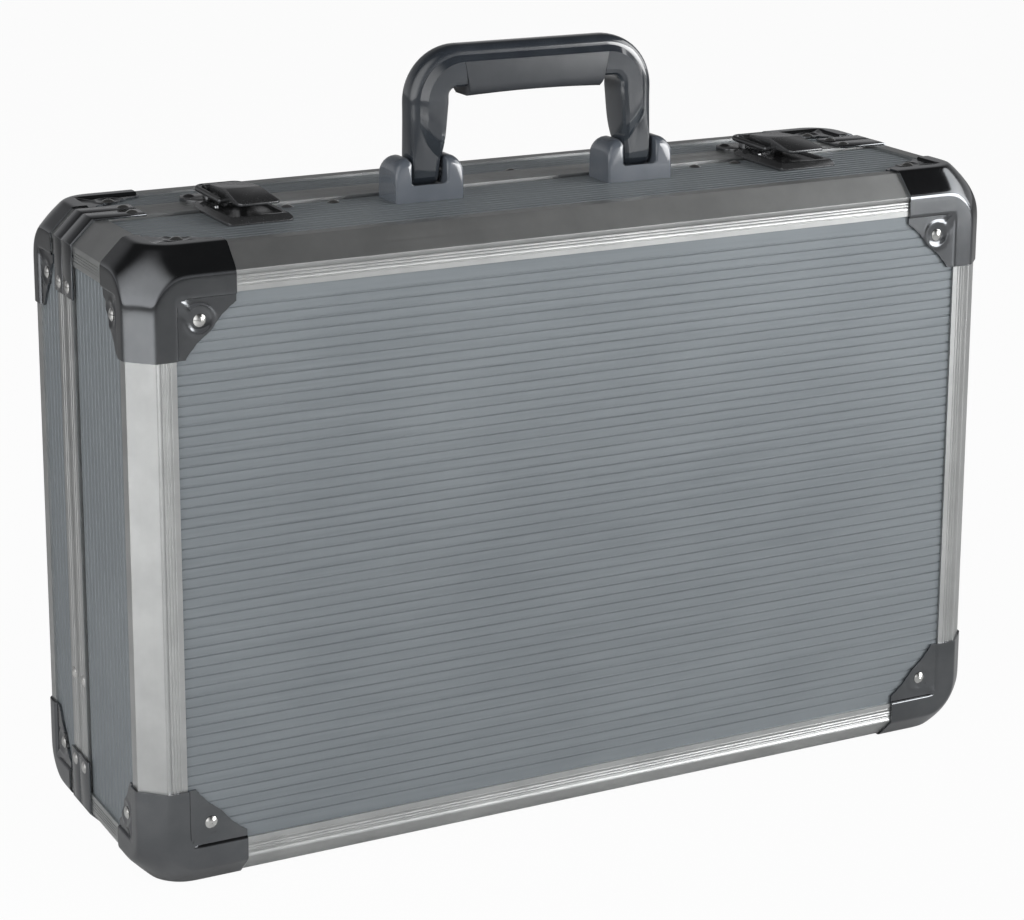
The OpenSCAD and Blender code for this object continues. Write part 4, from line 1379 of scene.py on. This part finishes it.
@dataclass(frozen=True)
class Softbox:
    """A soft lamp, which glossy surfaces show only where it says so."""

    name: str
    place: Triple
    aim: Triple
    size: Pair
    watts: float
    beam: float
    mirrored: bool = False

    def build(self) -> None:
        """Adds the lamp."""
        data = bpy.data.lights.new(self.name, "AREA")
        data.shape = "RECTANGLE"
        data.size, data.size_y = self.size
        data.energy = self.watts
        data.spread = math.radians(self.beam)
        lamp = placed(self.name, data)
        lamp.location = self.place
        way = Vector(self.aim) - Vector(self.place)
        lamp.rotation_euler = way.to_track_quat("-Z", "Y").to_euler()
        lamp.visible_glossy = self.mirrored
        lamp.visible_camera = False


WHITE = (1.0, 1.0, 1.0, 1.0)
MIDDLE = (0.0, 0.0, 0.17)
LAMPS = (
    Softbox("key_front", (0.9, -2.3, 1.0), MIDDLE, (1.0, 0.8), 2.0, 60),
    Softbox("fill_left", (-2.0, -1.0, 0.8), MIDDLE, (1.0, 0.8), 2.2, 60),
    Softbox("fill_back", (0.5, 2.4, 0.9), MIDDLE, (1.2, 1.0), 3.0, 60),
    Softbox("floor_left", (-1.15, -0.58, 0.95), (-1.15, -0.58, 0.0), (1.2, 1.2), 10.5, 88),
    Softbox("floor_right", (1.35, -1.5, 0.9), (1.35, -1.5, 0.0), (0.8, 0.8), 6.5, 75),
    Softbox("box_right", (2.1, -2.0, 0.7), MIDDLE, (1.7, 1.2), 8.5, 80, True),
    Softbox("box_high", (1.95, -0.5, 1.05), MIDDLE, (1.9, 1.4), 5.2, 90, True),
)


@dataclass
class Studio:
    """Pale floor, soft lamps, world and camera."""

    floor_size: float = 14.0
    floor_colour: float = 0.55
    floor_glow: float = 0.96
    camera_place: Triple = (-0.60663, -1.16954, 0.56595)
    pitch: float = 0.23108
    yaw: float = 0.47484
    roll: float = 0.00331
    lens: float = 95.33
    sensor: float = 36.0
    shift: float = -0.1807
    room_levels: tuple[Pair, ...] = ((0.0, 0.36), (0.14, 0.30), (0.36, 0.14), (0.60, 0.04), (1.0, 0.04))
    room_blue: float = 1.02
    glow_way: Triple = (-0.848, -0.424, 0.318)
    glow_from: float = 0.52
    glow_full: float = 0.95
    glow_level: float = 0.95

    def add_camera(self) -> None:
        """Adds the camera, turned by its yaw, pitch and roll."""
        data = bpy.data.cameras.new("camera")
        data.sensor_fit = "HORIZONTAL"
        data.sensor_width = self.sensor
        data.lens = self.lens
        data.shift_y = self.shift
        data.dof.use_dof = False
        yaw, pitch, roll = (
            Matrix.Rotation(angle, 4, axis)
            for angle, axis in ((-self.yaw, "Z"), (math.pi / 2 - self.pitch, "X"), (self.roll, "Z"))
        )
        camera = placed("camera", data)
        camera.matrix_world = Matrix.Translation(self.camera_place) @ yaw @ pitch @ roll
        bpy.context.scene.camera = camera

    def add_floor(self) -> None:
        """Adds a pale floor that still takes the object's shadow."""
        bm = bmesh.new()
        bmesh.ops.create_grid(bm, x_segments=1, y_segments=1, size=self.floor_size / 2)
        bmesh.ops.translate(bm, vec=Vector((0, 0, CAD_LOW.z)), verts=bm.verts)
        mesh = baked(bm, "floor")
        floor = placed("floor", mesh)
        material = bpy.data.materials.new("floor_white")
        material.use_nodes = True
        tree = material.node_tree
        tree.nodes.clear()
        path = add_node(tree, "LightPath").outputs["Is Camera Ray"]
        share = add_node(tree, "Math", path, self.floor_glow)
        share.operation = "MULTIPLY"
        matt = add_node(tree, "BsdfDiffuse", (*[self.floor_colour] * 3, 1.0))
        glow = add_node(tree, "Emission", WHITE, 1.0)
        mix = add_node(tree, "MixShader", share.outputs[0], matt.outputs[0], glow.outputs[0])
        add_node(tree, "OutputMaterial", mix.outputs[0])
        mesh.materials.append(material)

    def add_world(self) -> None:
        """Adds a world, white to the camera and to the object a dim room, paler low and on the left."""
        world = bpy.data.worlds.new("studio")
        bpy.context.scene.world = world
        world.use_nodes = True
        tree = world.node_tree
        tree.nodes.clear()
        place = add_node(tree, "TexCoord").outputs["Generated"]
        ramp = add_node(tree, "ValToRGB", add_node(tree, "SeparateXYZ", place).outputs["Z"])
        stops = ramp.color_ramp
        stops.interpolation = "EASE"
        while len(stops.elements) < len(self.room_levels):
            stops.elements.new(0.5)
        for stop, (where, level) in zip(stops.elements, self.room_levels):
            stop.position = where
            stop.color = (level, level, level * self.room_blue, 1)
        lean = add_node(tree, "VectorMath", place, self.glow_way)
        lean.operation = "DOT_PRODUCT"
        levels = (self.glow_from, self.glow_full, 0.0, self.glow_level)
        lobe = add_node(tree, "MapRange", lean.outputs["Value"], *levels)
        lobe.interpolation_type = "SMOOTHSTEP"
        both = add_node(tree, "VectorMath", ramp.outputs[0], lobe.outputs["Result"])
        room = add_node(tree, "Background", both.outputs["Vector"])
        seen = add_node(tree, "Background", WHITE)
        path = add_node(tree, "LightPath").outputs["Is Camera Ray"]
        mix = add_node(tree, "MixShader", path, room.outputs[0], seen.outputs[0])
        add_node(tree, "OutputWorld", mix.outputs[0])

    def build(self) -> None:
        """Builds the studio."""
        bpy.context.scene.view_settings.view_transform = "Standard"
        self.add_floor()
        self.add_world()
        for lamp in LAMPS:
            lamp.build()
        self.add_camera()


def main() -> None:
    """Builds every sub-assembly in order."""
    logging.basicConfig(level=logging.INFO, format="%(message)s", stream=sys.stdout)
    Studio().build()
    for half in Half:
        CaseHalf(half).build()
    PressedCap().build()
    CarryingHandle().build()
    for side in Side:
        DrawLatch(side).build()
    HingeAndStays().build()


if __name__ == "__main__":
    main()
